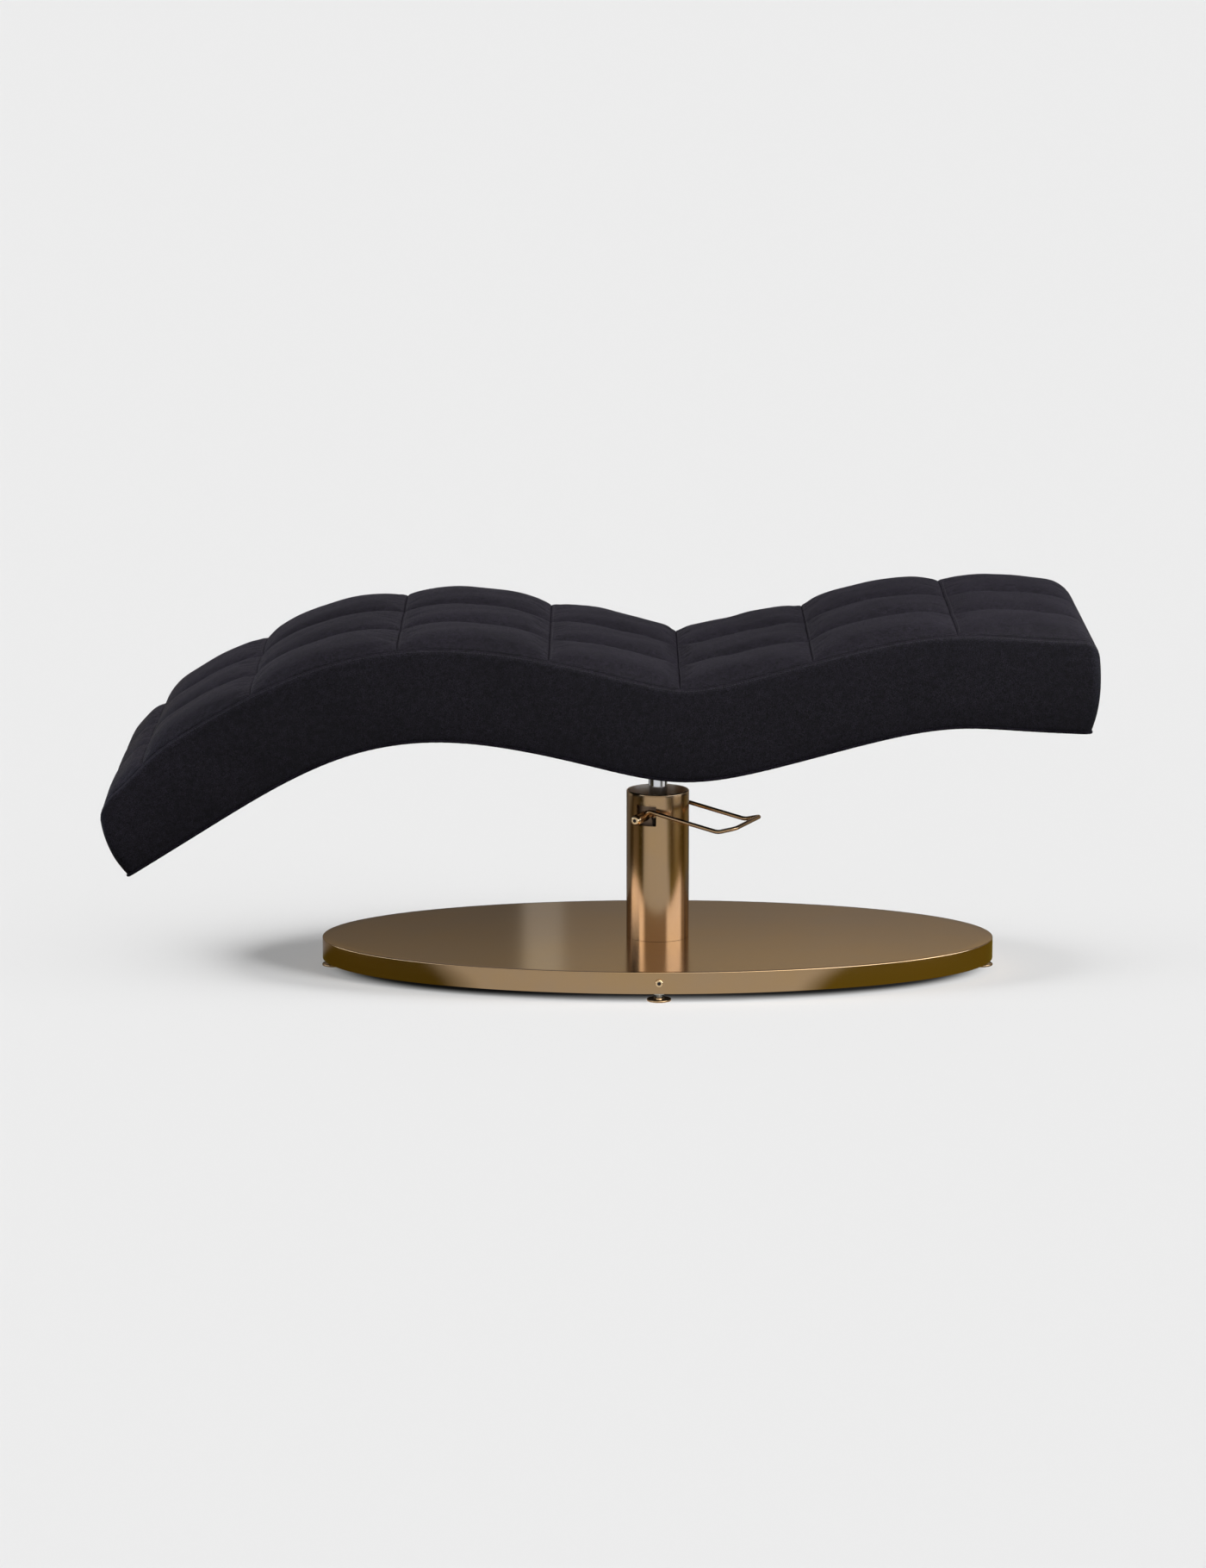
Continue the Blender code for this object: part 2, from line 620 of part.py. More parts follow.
def build_lever(pivot, head):
    for side, sign in (("near", -1), ("far", 1)):
        frame = empty("pivot side " + side, (0, 0, 0), (-sign * math.pi / 2, 0, 0), pivot)
        start = HEAD_FLAT - PIN_DEPTH
        hole = cylinder_mesh("pin hole", PIN_R + GAP, start - GAP, HEAD_FLAT + OVERRUN, 24)
        cut(head, place("pin hole " + side, hole, None, frame))
        end_hole = END_SCREW_R + GAP
        floor = PIN_END - END_SCREW_LENGTH
        profile = [(0, floor), (end_hole, floor), (end_hole, PIN_END), (PIN_R, PIN_END), (PIN_R, start),
                   (0, start)]
        turned("pivot_pin_" + side, profile, pump_steel(), frame, 20)

        bore = PIN_R + RUN_CLEARANCE
        edge = HUB_R / 8
        profile = [(bore, HUB_END), (HUB_R - edge, HUB_END), (HUB_R, HUB_END - edge),
                   (HUB_R, HUB_START + edge), (HUB_R - edge, HUB_START), (SLEEVE_R, HUB_START),
                   (SLEEVE_R, SLEEVE_START), (bore, SLEEVE_START)]
        hub = turned("lever_hub_" + side, profile, bronze(), frame, 28, closed=True)
        cheek = cylinder_mesh("cheek", CHEEK_R, PIN_R + 2 * GAP, CHEEK_REACH, 16)
        lean = place("cheek " + side, cheek, None, pivot, (0, sign * ARM_SPREAD, 0), (0, math.pi / 4, 0))
        join(hub, lean)
        if side == "near":
            arc = fillet(LOBE_OUT, 0, LOBE_R, -90, 90, 8) + fillet(0, 0, LOBE_R, 90, 270, 8)
            cam = [[(x, y, z) for x, y in arc] for z in (SLEEVE_START, SLEEVE_START + LOBE_WIDTH)]
            join(hub, place("cam lobe", loft_mesh("cam lobe", cam), None, frame))
        hole = cylinder_mesh("hub bore", bore, SLEEVE_START - OVERRUN, HUB_END + OVERRUN, 28)
        cut(hub, place("hub bore " + side, hole, None, frame))
        seat = empty("end screw seat " + side, (0, 0, HUB_END + GAP), (0, 0, 0), frame)
        shank = HUB_END + GAP - PIN_END + END_SCREW_LENGTH - GAP
        socket_screw("lever_screw_" + side, END_HEAD_R, END_HEAD_H, END_SCREW_R, shank, END_SOCKET_R,
                     bronze(), seat)

    root = (CHEEK_REACH + GAP) * math.sqrt(0.5)
    knee = ROD_KNEE * math.sqrt(0.5)
    near = [(root, -ARM_SPREAD, root), (knee, -ARM_SPREAD, knee), (CORNER_OUT, -ARM_SPREAD, -CORNER_DROP),
            (TIP_OUT, -TIP_SPREAD, -TIP_DROP)]
    far = [(x, -y, z) for x, y, z in reversed(near)]
    bends = [KNEE_BEND_R, CORNER_BEND_R, TIP_BEND_R]
    path = rounded_path(near + far, bends + list(reversed(bends)))
    wire("lever_bail", path, ROD_R, bronze(), pivot)


def build_plunger(lever_frame):
    spot = (LOBE_OUT, -PLUNGER_OUT, 0)
    frame = empty("plunger axis", spot, (0, 0, 0), lever_frame)
    high = PIVOT_Z - LOBE_R - GAP
    under = high - BUTTON_THICK
    edge = BUTTON_THICK / 5
    profile = [(0, high), (BUTTON_R - edge, high), (BUTTON_R, high - edge), (BUTTON_R, under),
               (PLUNGER_R, under), (PLUNGER_R, PLUNGER_BOTTOM), (0, PLUNGER_BOTTOM)]
    turned("pump_plunger", profile, chrome(), frame, 24)

    low = SHELF_TOP + GAP + SPRING_WIRE_R
    rise = under - GAP - SPRING_WIRE_R - low
    count = SPRING_TURNS * SPRING_POINTS_PER_TURN
    turns = np.linspace(0, 2 * math.pi * SPRING_TURNS, count + 1)
    coil = [(SPRING_R * math.cos(t), SPRING_R * math.sin(t), low + rise * t / turns[-1]) for t in turns]
    wire("plunger_spring", coil, SPRING_WIRE_R, zinc_steel(), frame, resolution=1)
    points = np.array(coil)
    apart = SPRING_POINTS_PER_TURN // 2
    least = min(np.linalg.norm(points[k + apart:] - points[k], axis=1).min() for k in range(count - apart))
    print("plunger spring: least gap between turns %.2f mm" % ((least - 2 * SPRING_WIRE_R) * 1000))
    if least - 2 * SPRING_WIRE_R < LEAST_SPRING_GAP:
        print("plunger spring: its turns are closer than they should be")


# Bed: one curved space with three coordinates, along the wave, across it and up through it

def mount_top():
    return SEAT_HUB_TOP + GAP + MOUNT_THICK


def wave_slopes():
    """Second derivatives of the natural cubic spline through the wave's points."""
    x, z = np.array(WAVE_SHARES, float).T
    h = np.diff(x)
    rows = np.zeros((len(x), len(x)))
    right = np.zeros(len(x))
    rows[0, 0] = rows[-1, -1] = 1
    for i in range(1, len(x) - 1):
        rows[i, i - 1:i + 2] = h[i - 1], 2 * (h[i - 1] + h[i]), h[i]
        right[i] = 6 * ((z[i + 1] - z[i]) / h[i] - (z[i] - z[i - 1]) / h[i - 1])
    return np.linalg.solve(rows, right)


def wave_height(share):
    """Height share of the underside at a share of the run."""
    x, z = np.array(WAVE_SHARES, float).T
    bend = wave_slopes()
    i = np.searchsorted(x[1:-1], share)
    t = share - x[i]
    h = x[i + 1] - x[i]
    slope = (z[i + 1] - z[i]) / h - h * (2 * bend[i] + bend[i + 1]) / 6
    return z[i] + t * slope + t ** 2 * bend[i] / 2 + t ** 3 * (bend[i + 1] - bend[i]) / (6 * h)


def wave_line():
    """Arc length, position and unit tangent along the underside."""
    share = np.linspace(0, 1, WAVE_SAMPLES + 1)
    x = WAVE_RUN * (share - COLUMN_AT_SHARE)
    lift = mount_top() + GAP + PACK_HEIGHT + GAP - DUST_COVER_THICK - GAP
    z = lift + WAVE_RISE * (wave_height(share) - wave_height(np.array([COLUMN_AT_SHARE])))
    length = np.concatenate([[0], np.cumsum(np.hypot(np.diff(x), np.diff(z)))])
    return length, x, z, np.gradient(x, length), np.gradient(z, length)


LINE = None


def bed_length():
    return LINE[0][-1]


def fade(share):
    """Falls smoothly from 1 at an end of the bed to 0, level at both."""
    share = np.clip(share, 0, 1)
    return 1 - share ** 2 * (3 - 2 * share)


def bed_points(along, across, up):
    """World places of points given by length along the wave, distance across and height in the bed."""
    along, across, up = (np.asarray(v, float) for v in np.broadcast_arrays(along, across, up))
    length, x, z, tx, tz = LINE
    px, pz, ax, az = (np.interp(along, length, v) for v in (x, z, tx, tz))
    size = np.hypot(ax, az)
    ax, az = ax / size, az / size
    to_head = length[-1] - along
    drop_share = np.clip(up / BED_DEPTH, 0, 1) ** 2
    for distance, radius in ((along, NOSE_EDGE_R), (to_head, HEAD_EDGE_R)):
        inside = np.clip(1 - distance / radius, 0, 1)
        up = up - radius * (1 - np.sqrt(1 - inside ** 2)) * drop_share
    share = up / BED_DEPTH
    bow = 4 * np.clip(share, 0, 1) * (1 - np.clip(share, 0, 1))
    near_low = fade(along / NOSE_LENGTH)
    near_head = fade(to_head / HEAD_LENGTH)
    push = bow * (HEAD_BULGE * near_head - NOSE_BULGE * near_low)
    bx = px - az * up + ax * push + near_low * share ** 2 * NOSE_IN
    bz = pz + ax * up + az * push - near_low * share ** 2 * NOSE_DOWN
    by = across * (1 + bow * SIDE_SWELL / (BED_WIDTH / 2))
    return np.stack([bx, by, bz], axis=-1)


def stations(inset):
    """Length along and half width of each cross-section, with the plan's corners rounded."""
    total = bed_length()
    seams = np.array(SEAM_SHARES) * total
    inner = [a + (b - a) * p for a, b in zip(seams, seams[1:]) for p in ALONG_SHARES]
    clear = PLAN_CORNER_R * CORNER_CLEAR_SHARE
    inner = [s for s in inner if clear < s < total - clear]
    turns = np.linspace(0, math.pi / 2, CORNER_STEPS + 1)
    arc = [(PLAN_CORNER_R - (PLAN_CORNER_R - inset) * math.cos(t),
            BED_WIDTH / 2 - PLAN_CORNER_R + (PLAN_CORNER_R - inset) * math.sin(t)) for t in turns]
    half = BED_WIDTH / 2 - inset
    return arc + [(s, half) for s in inner] + [(total - s, w) for s, w in reversed(arc)]


def pillow(share):
    """Rise of a stuffed block across its width, 0 at both seams and 1 in the middle."""
    return (1 - np.abs(2 * share - 1) ** CROWN_FLATNESS) ** CROWN_ROUNDNESS


def block_rise(place, block, last):
    """Rise across a block, 0 at the panel's edges. At an inner seam it is the seam's own rise."""
    seam = SEAM_RISE_SHARE * (fade(1 - place) if block == 0 else fade(place) if block == last else 1)
    return seam + (1 - seam) * pillow(place)


def quilt_crown(along, across, half):
    """Height of the quilting above its crossings."""
    seams = np.array(SEAM_SHARES) * bed_length()
    block = np.searchsorted(seams[1:-1], along, side="right")
    p = np.clip((along - seams[block]) / (seams[block + 1] - seams[block]), 0, 1)
    q = (across / half + 1) / 2 * QUILT_ROWS
    row = np.clip(np.floor(q), 0, QUILT_ROWS - 1)
    q = np.clip(q - row, 0, 1)
    return QUILT_CROWN * block_rise(p, block, len(seams[1:-1])) * block_rise(q, row, QUILT_ROWS - 1)


def slab(name, inset, levels, look, parent, crowned=False):
    """A closed layer of the bed between two heights, lofted through the stations."""
    across = [-1, 1]
    if crowned:
        across = [2 * (r + q) / QUILT_ROWS - 1 for r in range(QUILT_ROWS) for q in ACROSS_SHARES] + [1]
    places = stations(inset)
    first, last = places[0][0], places[-1][0]
    shape = bmesh.new()
    rings = []
    for along, half in places:
        near = [(along, -half, w) for w in levels[:-1]]
        far = [(along, half, w) for w in reversed(levels[:-1])]
        top = []
        for a in across:
            on_edge = along in (first, last) or abs(a) == 1
            rise = 0 if on_edge or not crowned else float(quilt_crown(along, a * half, half))
            top.append((along, a * half, levels[-1] + rise))
        ring = np.array(near + top + far)
        rings.append([shape.verts.new(p) for p in bed_points(*ring.T)])
    count = len(rings[0])
    for ring, following in zip(rings, rings[1:]):
        for k in range(count):
            n = (k + 1) % count
            shape.faces.new((ring[k], ring[n], following[n], following[k]))
    rows = len(levels) - 1
    for ring in (rings[0], rings[-1]):
        for k in range(rows - 1):
            shape.faces.new((ring[k], ring[k + 1], ring[count - 2 - k], ring[count - 1 - k]))
        shape.faces.new(ring[rows - 1:count - rows + 1])
    bmesh.ops.recalc_face_normals(shape, faces=shape.faces)
    return place(name, from_bmesh(name, shape), look, parent)


def outline(inset):
    """The closed plan outline at an inset, near side first."""
    side = stations(inset)
    return [(s, -w) for s, w in side] + [(s, w) for s, w in reversed(side)]


def foam_levels():
    """Heights in the bed at which the foam's and the band's walls bend."""
    low = DUST_COVER_THICK + GAP + DECK_THICK + GAP
    high = BED_DEPTH - QUILT_PAD - GAP
    return [low + (high - low) * share for share in LEVEL_SHARES]


def build_band(swivel):
    """The boxing strip round the bed, as a wall between two outlines."""
    levels = [2 * PIPING_R + GAP, *foam_levels(), BED_DEPTH]
    shape = bmesh.new()
    walls = []
    for inset in (0, BAND_THICK):
        path = np.array(outline(inset))
        rows = [bed_points(path[:, 0], path[:, 1], level) for level in levels]
        walls.append([[shape.verts.new(p) for p in row] for row in rows])
    outer, inner = walls
    count = len(outer[0])
    for k in range(count):
        n = (k + 1) % count
        for lower, upper in zip(range(len(levels)), range(1, len(levels))):
            shape.faces.new((outer[lower][k], outer[lower][n], outer[upper][n], outer[upper][k]))
            shape.faces.new((inner[lower][n], inner[lower][k], inner[upper][k], inner[upper][n]))
        shape.faces.new((outer[-1][k], outer[-1][n], inner[-1][n], inner[-1][k]))
        shape.faces.new((outer[0][n], outer[0][k], inner[0][k], inner[0][n]))
    bmesh.ops.recalc_face_normals(shape, faces=shape.faces)
    place("side_band", from_bmesh("side_band", shape), black_leather(), swivel)


def underside(x, up):
    """Height of the faceted underside above a place x, at a height in the bed."""
    along = np.array([s for s, w in stations(0)])
    line = bed_points(along, 0, up)
    return float(np.interp(x, line[:, 0], line[:, 2]))


def build_bed(swivel):
    deck_low = DUST_COVER_THICK + GAP
    deck_high = deck_low + DECK_THICK
    trim = 2 * PIPING_R + GAP
    dust = slab("dust_cover", trim, (0, DUST_COVER_THICK), black_cloth(), swivel)
    deck = slab("plywood_deck", trim, (deck_low, deck_high), birch_ply(), swivel)
    slab("foam_core", BAND_THICK + BAND_CLEARANCE, foam_levels(), upholstery_foam(), swivel)
    slab("quilted_top", BAND_THICK + BAND_CLEARANCE, (BED_DEPTH - QUILT_PAD, BED_DEPTH), black_leather(),
         swivel, True)
    build_band(swivel)
    path = np.array(outline(PIPING_R))
    wire("bottom_piping", bed_points(path[:, 0], path[:, 1], PIPING_R), PIPING_R, black_leather(), swivel,
         cyclic=True, resolution=1)

    edge = MOUNT_BOLT_R + BOLT_CLEARANCE
    low = (-PACK_LENGTH / 2 - GAP, -PACK_WIDTH / 2 - GAP, mount_top())
    high = (PACK_LENGTH / 2 + GAP, PACK_WIDTH / 2 + GAP, mount_top() + WAVE_RISE)
    cut(dust, place("block opening", box_mesh("block opening", low, high), None, swivel))

    socket_r = RAM_R + RUN_CLEARANCE
    profile = [(0, SEAT_HUB_TOP), (SEAT_HUB_HIGH_R, SEAT_HUB_TOP), (SEAT_HUB_LOW_R, HUB_BOTTOM),
               (socket_r, HUB_BOTTOM), (socket_r, RAM_TOP + GAP), (0, RAM_TOP + GAP)]
    turned("seat_hub", profile, black_steel(), swivel, 40)

    low = (-MOUNT_LENGTH / 2, -MOUNT_WIDTH / 2, SEAT_HUB_TOP + GAP)
    high = (MOUNT_LENGTH / 2, MOUNT_WIDTH / 2, mount_top())
    plate = rounded_plate("mount_plate", low, high, MOUNT_CORNER, black_steel(), swivel)

    cuts = [-PACK_LENGTH / 2, PACK_LENGTH / 2]
    along = np.array([s for s, w in stations(0)])
    line = bed_points(along, 0, deck_low)
    cuts[1:1] = [x for x in line[:, 0] if abs(x) < PACK_LENGTH / 2 - GAP]
    rings = [[(x, -PACK_WIDTH / 2, mount_top() + GAP), (x, PACK_WIDTH / 2, mount_top() + GAP),
              (x, PACK_WIDTH / 2, underside(x, deck_low) - GAP),
              (x, -PACK_WIDTH / 2, underside(x, deck_low) - GAP)] for x in cuts]
    block = place("packing_block", loft_mesh("packing_block", rings), birch_ply(), swivel)

    bolt_low = SEAT_HUB_TOP
    spots = [(x, y) for x in (-MOUNT_BOLT_X, MOUNT_BOLT_X) for y in (-MOUNT_BOLT_Y, MOUNT_BOLT_Y)]
    for k, (x, y) in enumerate(spots):
        top = underside(x, deck_high) - BOLT_BELOW_DECK_TOP
        bolt = hex_bolt_mesh("mount bolt %d" % (k + 1), MOUNT_BOLT_FLATS, MOUNT_BOLT_HEAD, MOUNT_BOLT_R,
                             top - bolt_low)
        place("mount_bolt_%d" % (k + 1), bolt, zinc_steel(), swivel, (x, y, bolt_low))
        for target in (plate, block, deck):
            hole = cylinder_mesh("bolt hole", edge, SEAT_HUB_TOP - OVERRUN,
                                 underside(x, deck_high) + OVERRUN, 16)
            cut(target, place("bolt hole %d %s" % (k, target.name), hole, None, swivel, (x, y, 0)))


def rounded_plate(name, low, high, corner, look, parent):
    made = place(name, box_mesh(name, low, high), look, parent)
    shape = bmesh.new()
    shape.from_mesh(made.data)
    upright = [e for e in shape.edges if abs(e.verts[0].co.z - e.verts[1].co.z) > 0.5 * (high[2] - low[2])]
    bmesh.ops.bevel(shape, geom=upright, offset=corner, segments=4, profile=0.5, affect="EDGES")
    shape.to_mesh(made.data)
    shape.free()
    return made


def build():
    global LINE
    clear_scene()
    LINE = wave_line()
    column = empty("column axis", (COLUMN_X, 0, 0))
    base = empty("base middle", (0, 0, 0), parent=column)
    swivel = empty("swivel axis", parent=column)
    lever_frame = empty("lever frame", (0, 0, 0), (0, 0, -LEVER_TURN), column)
    pivot = empty("lever pivot", (0, 0, PIVOT_Z), parent=lever_frame)
    build_base(base)
    build_feet(base)
    head = build_pump(column, lever_frame)
    build_column(column, lever_frame)
    build_ram(column, swivel)
    build_lever(pivot, head)
    build_plunger(lever_frame)
    build_bed(swivel)


build()
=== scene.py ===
import math

import bmesh
import bpy
import numpy as np
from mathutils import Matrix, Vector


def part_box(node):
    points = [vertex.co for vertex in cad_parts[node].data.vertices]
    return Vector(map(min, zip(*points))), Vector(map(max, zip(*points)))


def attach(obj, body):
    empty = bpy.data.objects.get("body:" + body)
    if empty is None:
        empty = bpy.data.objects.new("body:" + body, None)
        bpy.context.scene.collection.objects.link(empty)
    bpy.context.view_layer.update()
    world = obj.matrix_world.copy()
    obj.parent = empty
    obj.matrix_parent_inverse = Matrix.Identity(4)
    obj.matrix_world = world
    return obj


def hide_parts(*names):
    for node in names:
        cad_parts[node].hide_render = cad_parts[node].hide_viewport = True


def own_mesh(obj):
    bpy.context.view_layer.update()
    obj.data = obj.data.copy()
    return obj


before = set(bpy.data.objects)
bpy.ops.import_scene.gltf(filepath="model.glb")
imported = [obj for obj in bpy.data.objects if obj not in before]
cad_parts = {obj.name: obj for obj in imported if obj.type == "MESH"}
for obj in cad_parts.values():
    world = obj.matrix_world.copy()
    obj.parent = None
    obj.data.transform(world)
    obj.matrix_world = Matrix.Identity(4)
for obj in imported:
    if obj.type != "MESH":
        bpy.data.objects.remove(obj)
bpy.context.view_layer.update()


# Base cover: an oval pressing of sheet steel with a turned-down rim, over the heavy plate that steadies the bed.
# It is brushed, plated in bronze and lacquered. The foot of the column holds it down.
def linear(colour):
    """An sRGB hex colour as linear red, green, blue and a full alpha."""
    parts = np.array([int(colour[k:k + 2], 16) for k in (1, 3, 5)]) / 255
    return (*np.where(parts <= 0.04045, parts / 12.92, ((parts + 0.055) / 1.055) ** 2.4).tolist(), 1.0)


def add(tree, kind, settings, links, output=0):
    """Adds a shader node and returns one of its outputs. A key is the name or number of a socket, or else the name
    of a property."""
    made = tree.nodes.new("ShaderNode" + kind)
    for key, value in settings.items():
        if isinstance(key, int) or key in made.inputs:
            made.inputs[key].default_value = value
        else:
            setattr(made, key, value)
    for key, source in links.items():
        tree.links.new(source, made.inputs[key])
    return made.outputs[output]


def start(name, sockets):
    """A Principled material with the sockets that are the same all over its surface, its node tree, and the place of
    a point on the piece."""
    made = bpy.data.materials.new(name)
    made.use_nodes = True
    for key, value in sockets.items():
        made.node_tree.nodes["Principled BSDF"].inputs[key].default_value = value
    return made, made.node_tree, add(made.node_tree, "TexCoord", {}, {}, "Object")


def finished(made, links):
    """The material, with outputs of its nodes linked to the sockets of its Principled shader."""
    for key, source in links.items():
        made.node_tree.links.new(source, made.node_tree.nodes["Principled BSDF"].inputs[key])
    return made


def brushed_bronze(name, marks_per_metre, tones=("#ae9374", "#b3946c")):
    """Bronze plating over brushed steel. Brushing leaves fine marks that blur reflections across them, and the
    lacquer over the plating is a little warmer in some places than in others."""
    made, tree, place = start(name, {"Metallic": 1.0, "Specular Tint": linear("#e4dcd8")})
    along = add(tree, "Mapping", {"Scale": marks_per_metre}, {"Vector": place})
    marks = add(tree, "TexNoise", {"Scale": 1.0, "Detail": 4.0, "Roughness": 0.7}, {"Vector": along})
    cloud = add(tree, "TexNoise", {"Scale": 9.0, "Detail": 3.0, "Roughness": 0.55}, {"Vector": place})
    warm = add(tree, "MapRange", {"From Min": 0.3, "From Max": 0.7}, {"Value": cloud})
    tone = add(tree, "Mix", {"data_type": "RGBA", 6: linear(tones[0]), 7: linear(tones[1])}, {0: warm}, 2)
    blur = add(tree, "MapRange", {"From Min": 0.25, "From Max": 0.75, "To Min": 0.11, "To Max": 0.2},
               {"Value": marks})
    bump = add(tree, "Bump", {"Strength": 0.25, "Distance": 0.00004}, {"Height": marks})
    return finished(made, {"Base Color": tone, "Roughness": blur, "Normal": bump})


def patch(points, wrap_rows=False, wrap_columns=False, caps=False):
    """A grid of points, rows by columns, as a list of points and the quads between them. A wrapped direction joins
    its last line to its first, and caps close the first and the last row."""
    rows, columns = points.shape[:2]
    r, c = np.meshgrid(np.arange(rows if wrap_rows else rows - 1),
                       np.arange(columns if wrap_columns else columns - 1), indexing="ij")
    below, beside = (r + 1) % rows, (c + 1) % columns
    quads = np.stack([r * columns + c, r * columns + beside, below * columns + beside, below * columns + c], -1)
    faces = quads.reshape(-1, 4).tolist()
    if caps:
        faces += [list(range(columns))[::-1], list(range((rows - 1) * columns, rows * columns))]
    return points.reshape(-1, 3), faces


def build(name, patches, look, sharp=35.0):
    """One piece from several patches: their seams are welded and their faces turned outwards."""
    points = np.concatenate([p for p, f in patches])
    first = np.cumsum([0] + [len(p) for p, f in patches]).tolist()
    faces = [[k + n for k in face] for (p, f), n in zip(patches, first) for face in f]
    mesh = bpy.data.meshes.new(name)
    mesh.from_pydata(points.tolist(), [], faces)
    shape = bmesh.new()
    shape.from_mesh(mesh)
    bmesh.ops.remove_doubles(shape, verts=shape.verts, dist=1e-6)
    bmesh.ops.recalc_face_normals(shape, faces=shape.faces)
    shape.to_mesh(mesh)
    shape.free()
    mesh.shade_smooth()
    mesh.set_sharp_from_angle(angle=math.radians(sharp))
    mesh.materials.append(look)
    made = bpy.data.objects.new(name, mesh)
    bpy.context.scene.collection.objects.link(made)
    return made


def arc(centre, radius, begin, end, steps):
    """Points of an arc in a flat profile: the centre plus the radius at evenly spaced angles, in degrees."""
    turn = np.radians(np.linspace(begin, end, steps + 1))
    return np.stack([centre[0] + radius * np.cos(turn), centre[1] + radius * np.sin(turn)], -1)


low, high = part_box("base_cover")
column_x = (low.x + high.x) / 2
half_long, half_wide = (high.x - low.x) / 2, (high.y - low.y) / 2
base_top, rim_bottom = high.z, low.z
cover_wall, cover_fillet, cover_bore, rim_edge = 0.002, 0.0017, 0.052, 0.0008


def cover_rows(profile, turn):
    """Rows of the base cover. A profile point is (distance in from the rim, height, share of the way to the bore):
    the rim is an ellipse moved in along its own normal, and the top runs straight from there to the round bore."""
    inset, height, share = (v[:, None] for v in np.array(profile).T)
    normal = np.stack([np.cos(turn) / half_long, np.sin(turn) / half_wide])
    normal = normal / np.linalg.norm(normal, axis=0)
    x = half_long * np.cos(turn) - inset * normal[0]
    y = half_wide * np.sin(turn) - inset * normal[1]
    x = column_x + x * (1 - share) + cover_bore * np.cos(turn) * share
    y = y * (1 - share) + cover_bore * np.sin(turn) * share
    return np.stack([x, y, height + 0 * x], -1)


under_top = base_top - cover_wall
fillet_out = arc((cover_fillet, base_top - cover_fillet), cover_fillet, 180, 90, 8)
fillet_in = arc((2 * cover_wall, under_top - cover_wall), cover_wall, 90, 180, 4)
rolled = arc((cover_wall / 2, rim_bottom + rim_edge), cover_wall / 2, 360, 180, 8)
rolled[:, 1] = rim_bottom + rim_edge + (rolled[:, 1] - rim_bottom - rim_edge) * rim_edge / (cover_wall / 2)
spread = np.linspace(0, 1, 9) ** 1.5
outline_of_cover = [(i, z, 0) for i, z in fillet_out]
outline_of_cover += [(cover_fillet, base_top, s) for s in spread[1:]]
outline_of_cover += [(2 * cover_wall, under_top, s) for s in spread[::-1]]
outline_of_cover += [(i, z, 0) for i, z in fillet_in[1:]]
outline_of_cover += [(i, z, 0) for i, z in rolled]
round_the_base = np.arange(360) * 2 * math.pi / 360
brush_on_base = (60, 900, 900)     # marks a metre: real ones are 0.1 mm apart and drawn ten times coarser, to show
bronze_on_base = brushed_bronze("brushed bronze plate, long grain", brush_on_base)
cover = build("bronze_base_cover", [patch(cover_rows(outline_of_cover, round_the_base), wrap_rows=True,
                                         wrap_columns=True)], bronze_on_base)
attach(cover, "base")
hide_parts("base_cover")


# Base plate, ring and screw blocks: flame-cut and machined steel, powder coated black. The plate gives the bed its
# steady stand, and the cover hides them all.
def patterned(name, sockets, pattern, settings, marks=None, tones=None, dull=None, relief=None):
    """A finish with one pattern on it, which marks a metre along x, y and z may stretch. Where the pattern is high,
    the colour is the second tone and the roughness the second of dull; relief is a strength and a height."""
    made, tree, place = start(name, sockets)
    if marks:
        place = add(tree, "Mapping", {"Scale": marks}, {"Vector": place})
    high = add(tree, pattern, settings, {"Vector": place}, 1 if pattern == "TexWave" else 0)
    links = {}
    if tones:
        links["Base Color"] = add(tree, "Mix", {"data_type": "RGBA", 6: linear(tones[0]), 7: linear(tones[1])},
                                  {0: high}, 2)
    if dull:
        links["Roughness"] = add(tree, "MapRange", {"To Min": dull[0], "To Max": dull[1]}, {"Value": high})
    if relief:
        links["Normal"] = add(tree, "Bump", {"Strength": relief[0], "Distance": relief[1]}, {"Height": high})
    return finished(made, links)


def second_look(made, look, chosen):
    """Gives a piece another material on the faces that are chosen by their centres."""
    mesh = made.data
    centres = np.empty(len(mesh.polygons) * 3)
    mesh.polygons.foreach_get("center", centres)
    mesh.materials.append(look)
    mesh.polygons.foreach_set("material_index", chosen(centres.reshape(-1, 3)).astype(np.int32))


def finish_node(look, *names):
    """A CAD node keeps its own shape and takes a finish."""
    for name in names:
        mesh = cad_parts[name].data
        mesh.materials.clear()
        mesh.materials.append(look)


# Powder coat is thick paint: its skin waves like orange peel at about 1.5 mm, and its gloss is soft and low.
black_powder = patterned("black powder coat", {"Base Color": linear("#17171a")}, "TexNoise",
                         {"Scale": 650.0, "Detail": 2.0}, dull=(0.45, 0.6), relief=(0.4, 0.0001))
finish_node(black_powder, "base_plate", "cover_ring", "screw_block_front", "screw_block_back")


# Rim screws: button-head socket screws, one in the middle of the rim at the front and one at the back.
# They pull the cover tight onto blocks on the plate, and are plated to match it.
def circles(radius, height, turn, centre=(0.0, 0.0)):
    """Points round an upright axis: the centre plus each radius at each angle, at its height."""
    return np.stack(np.broadcast_arrays(centre[0] + radius * np.cos(turn), centre[1] + radius * np.sin(turn),
                                        height), -1)


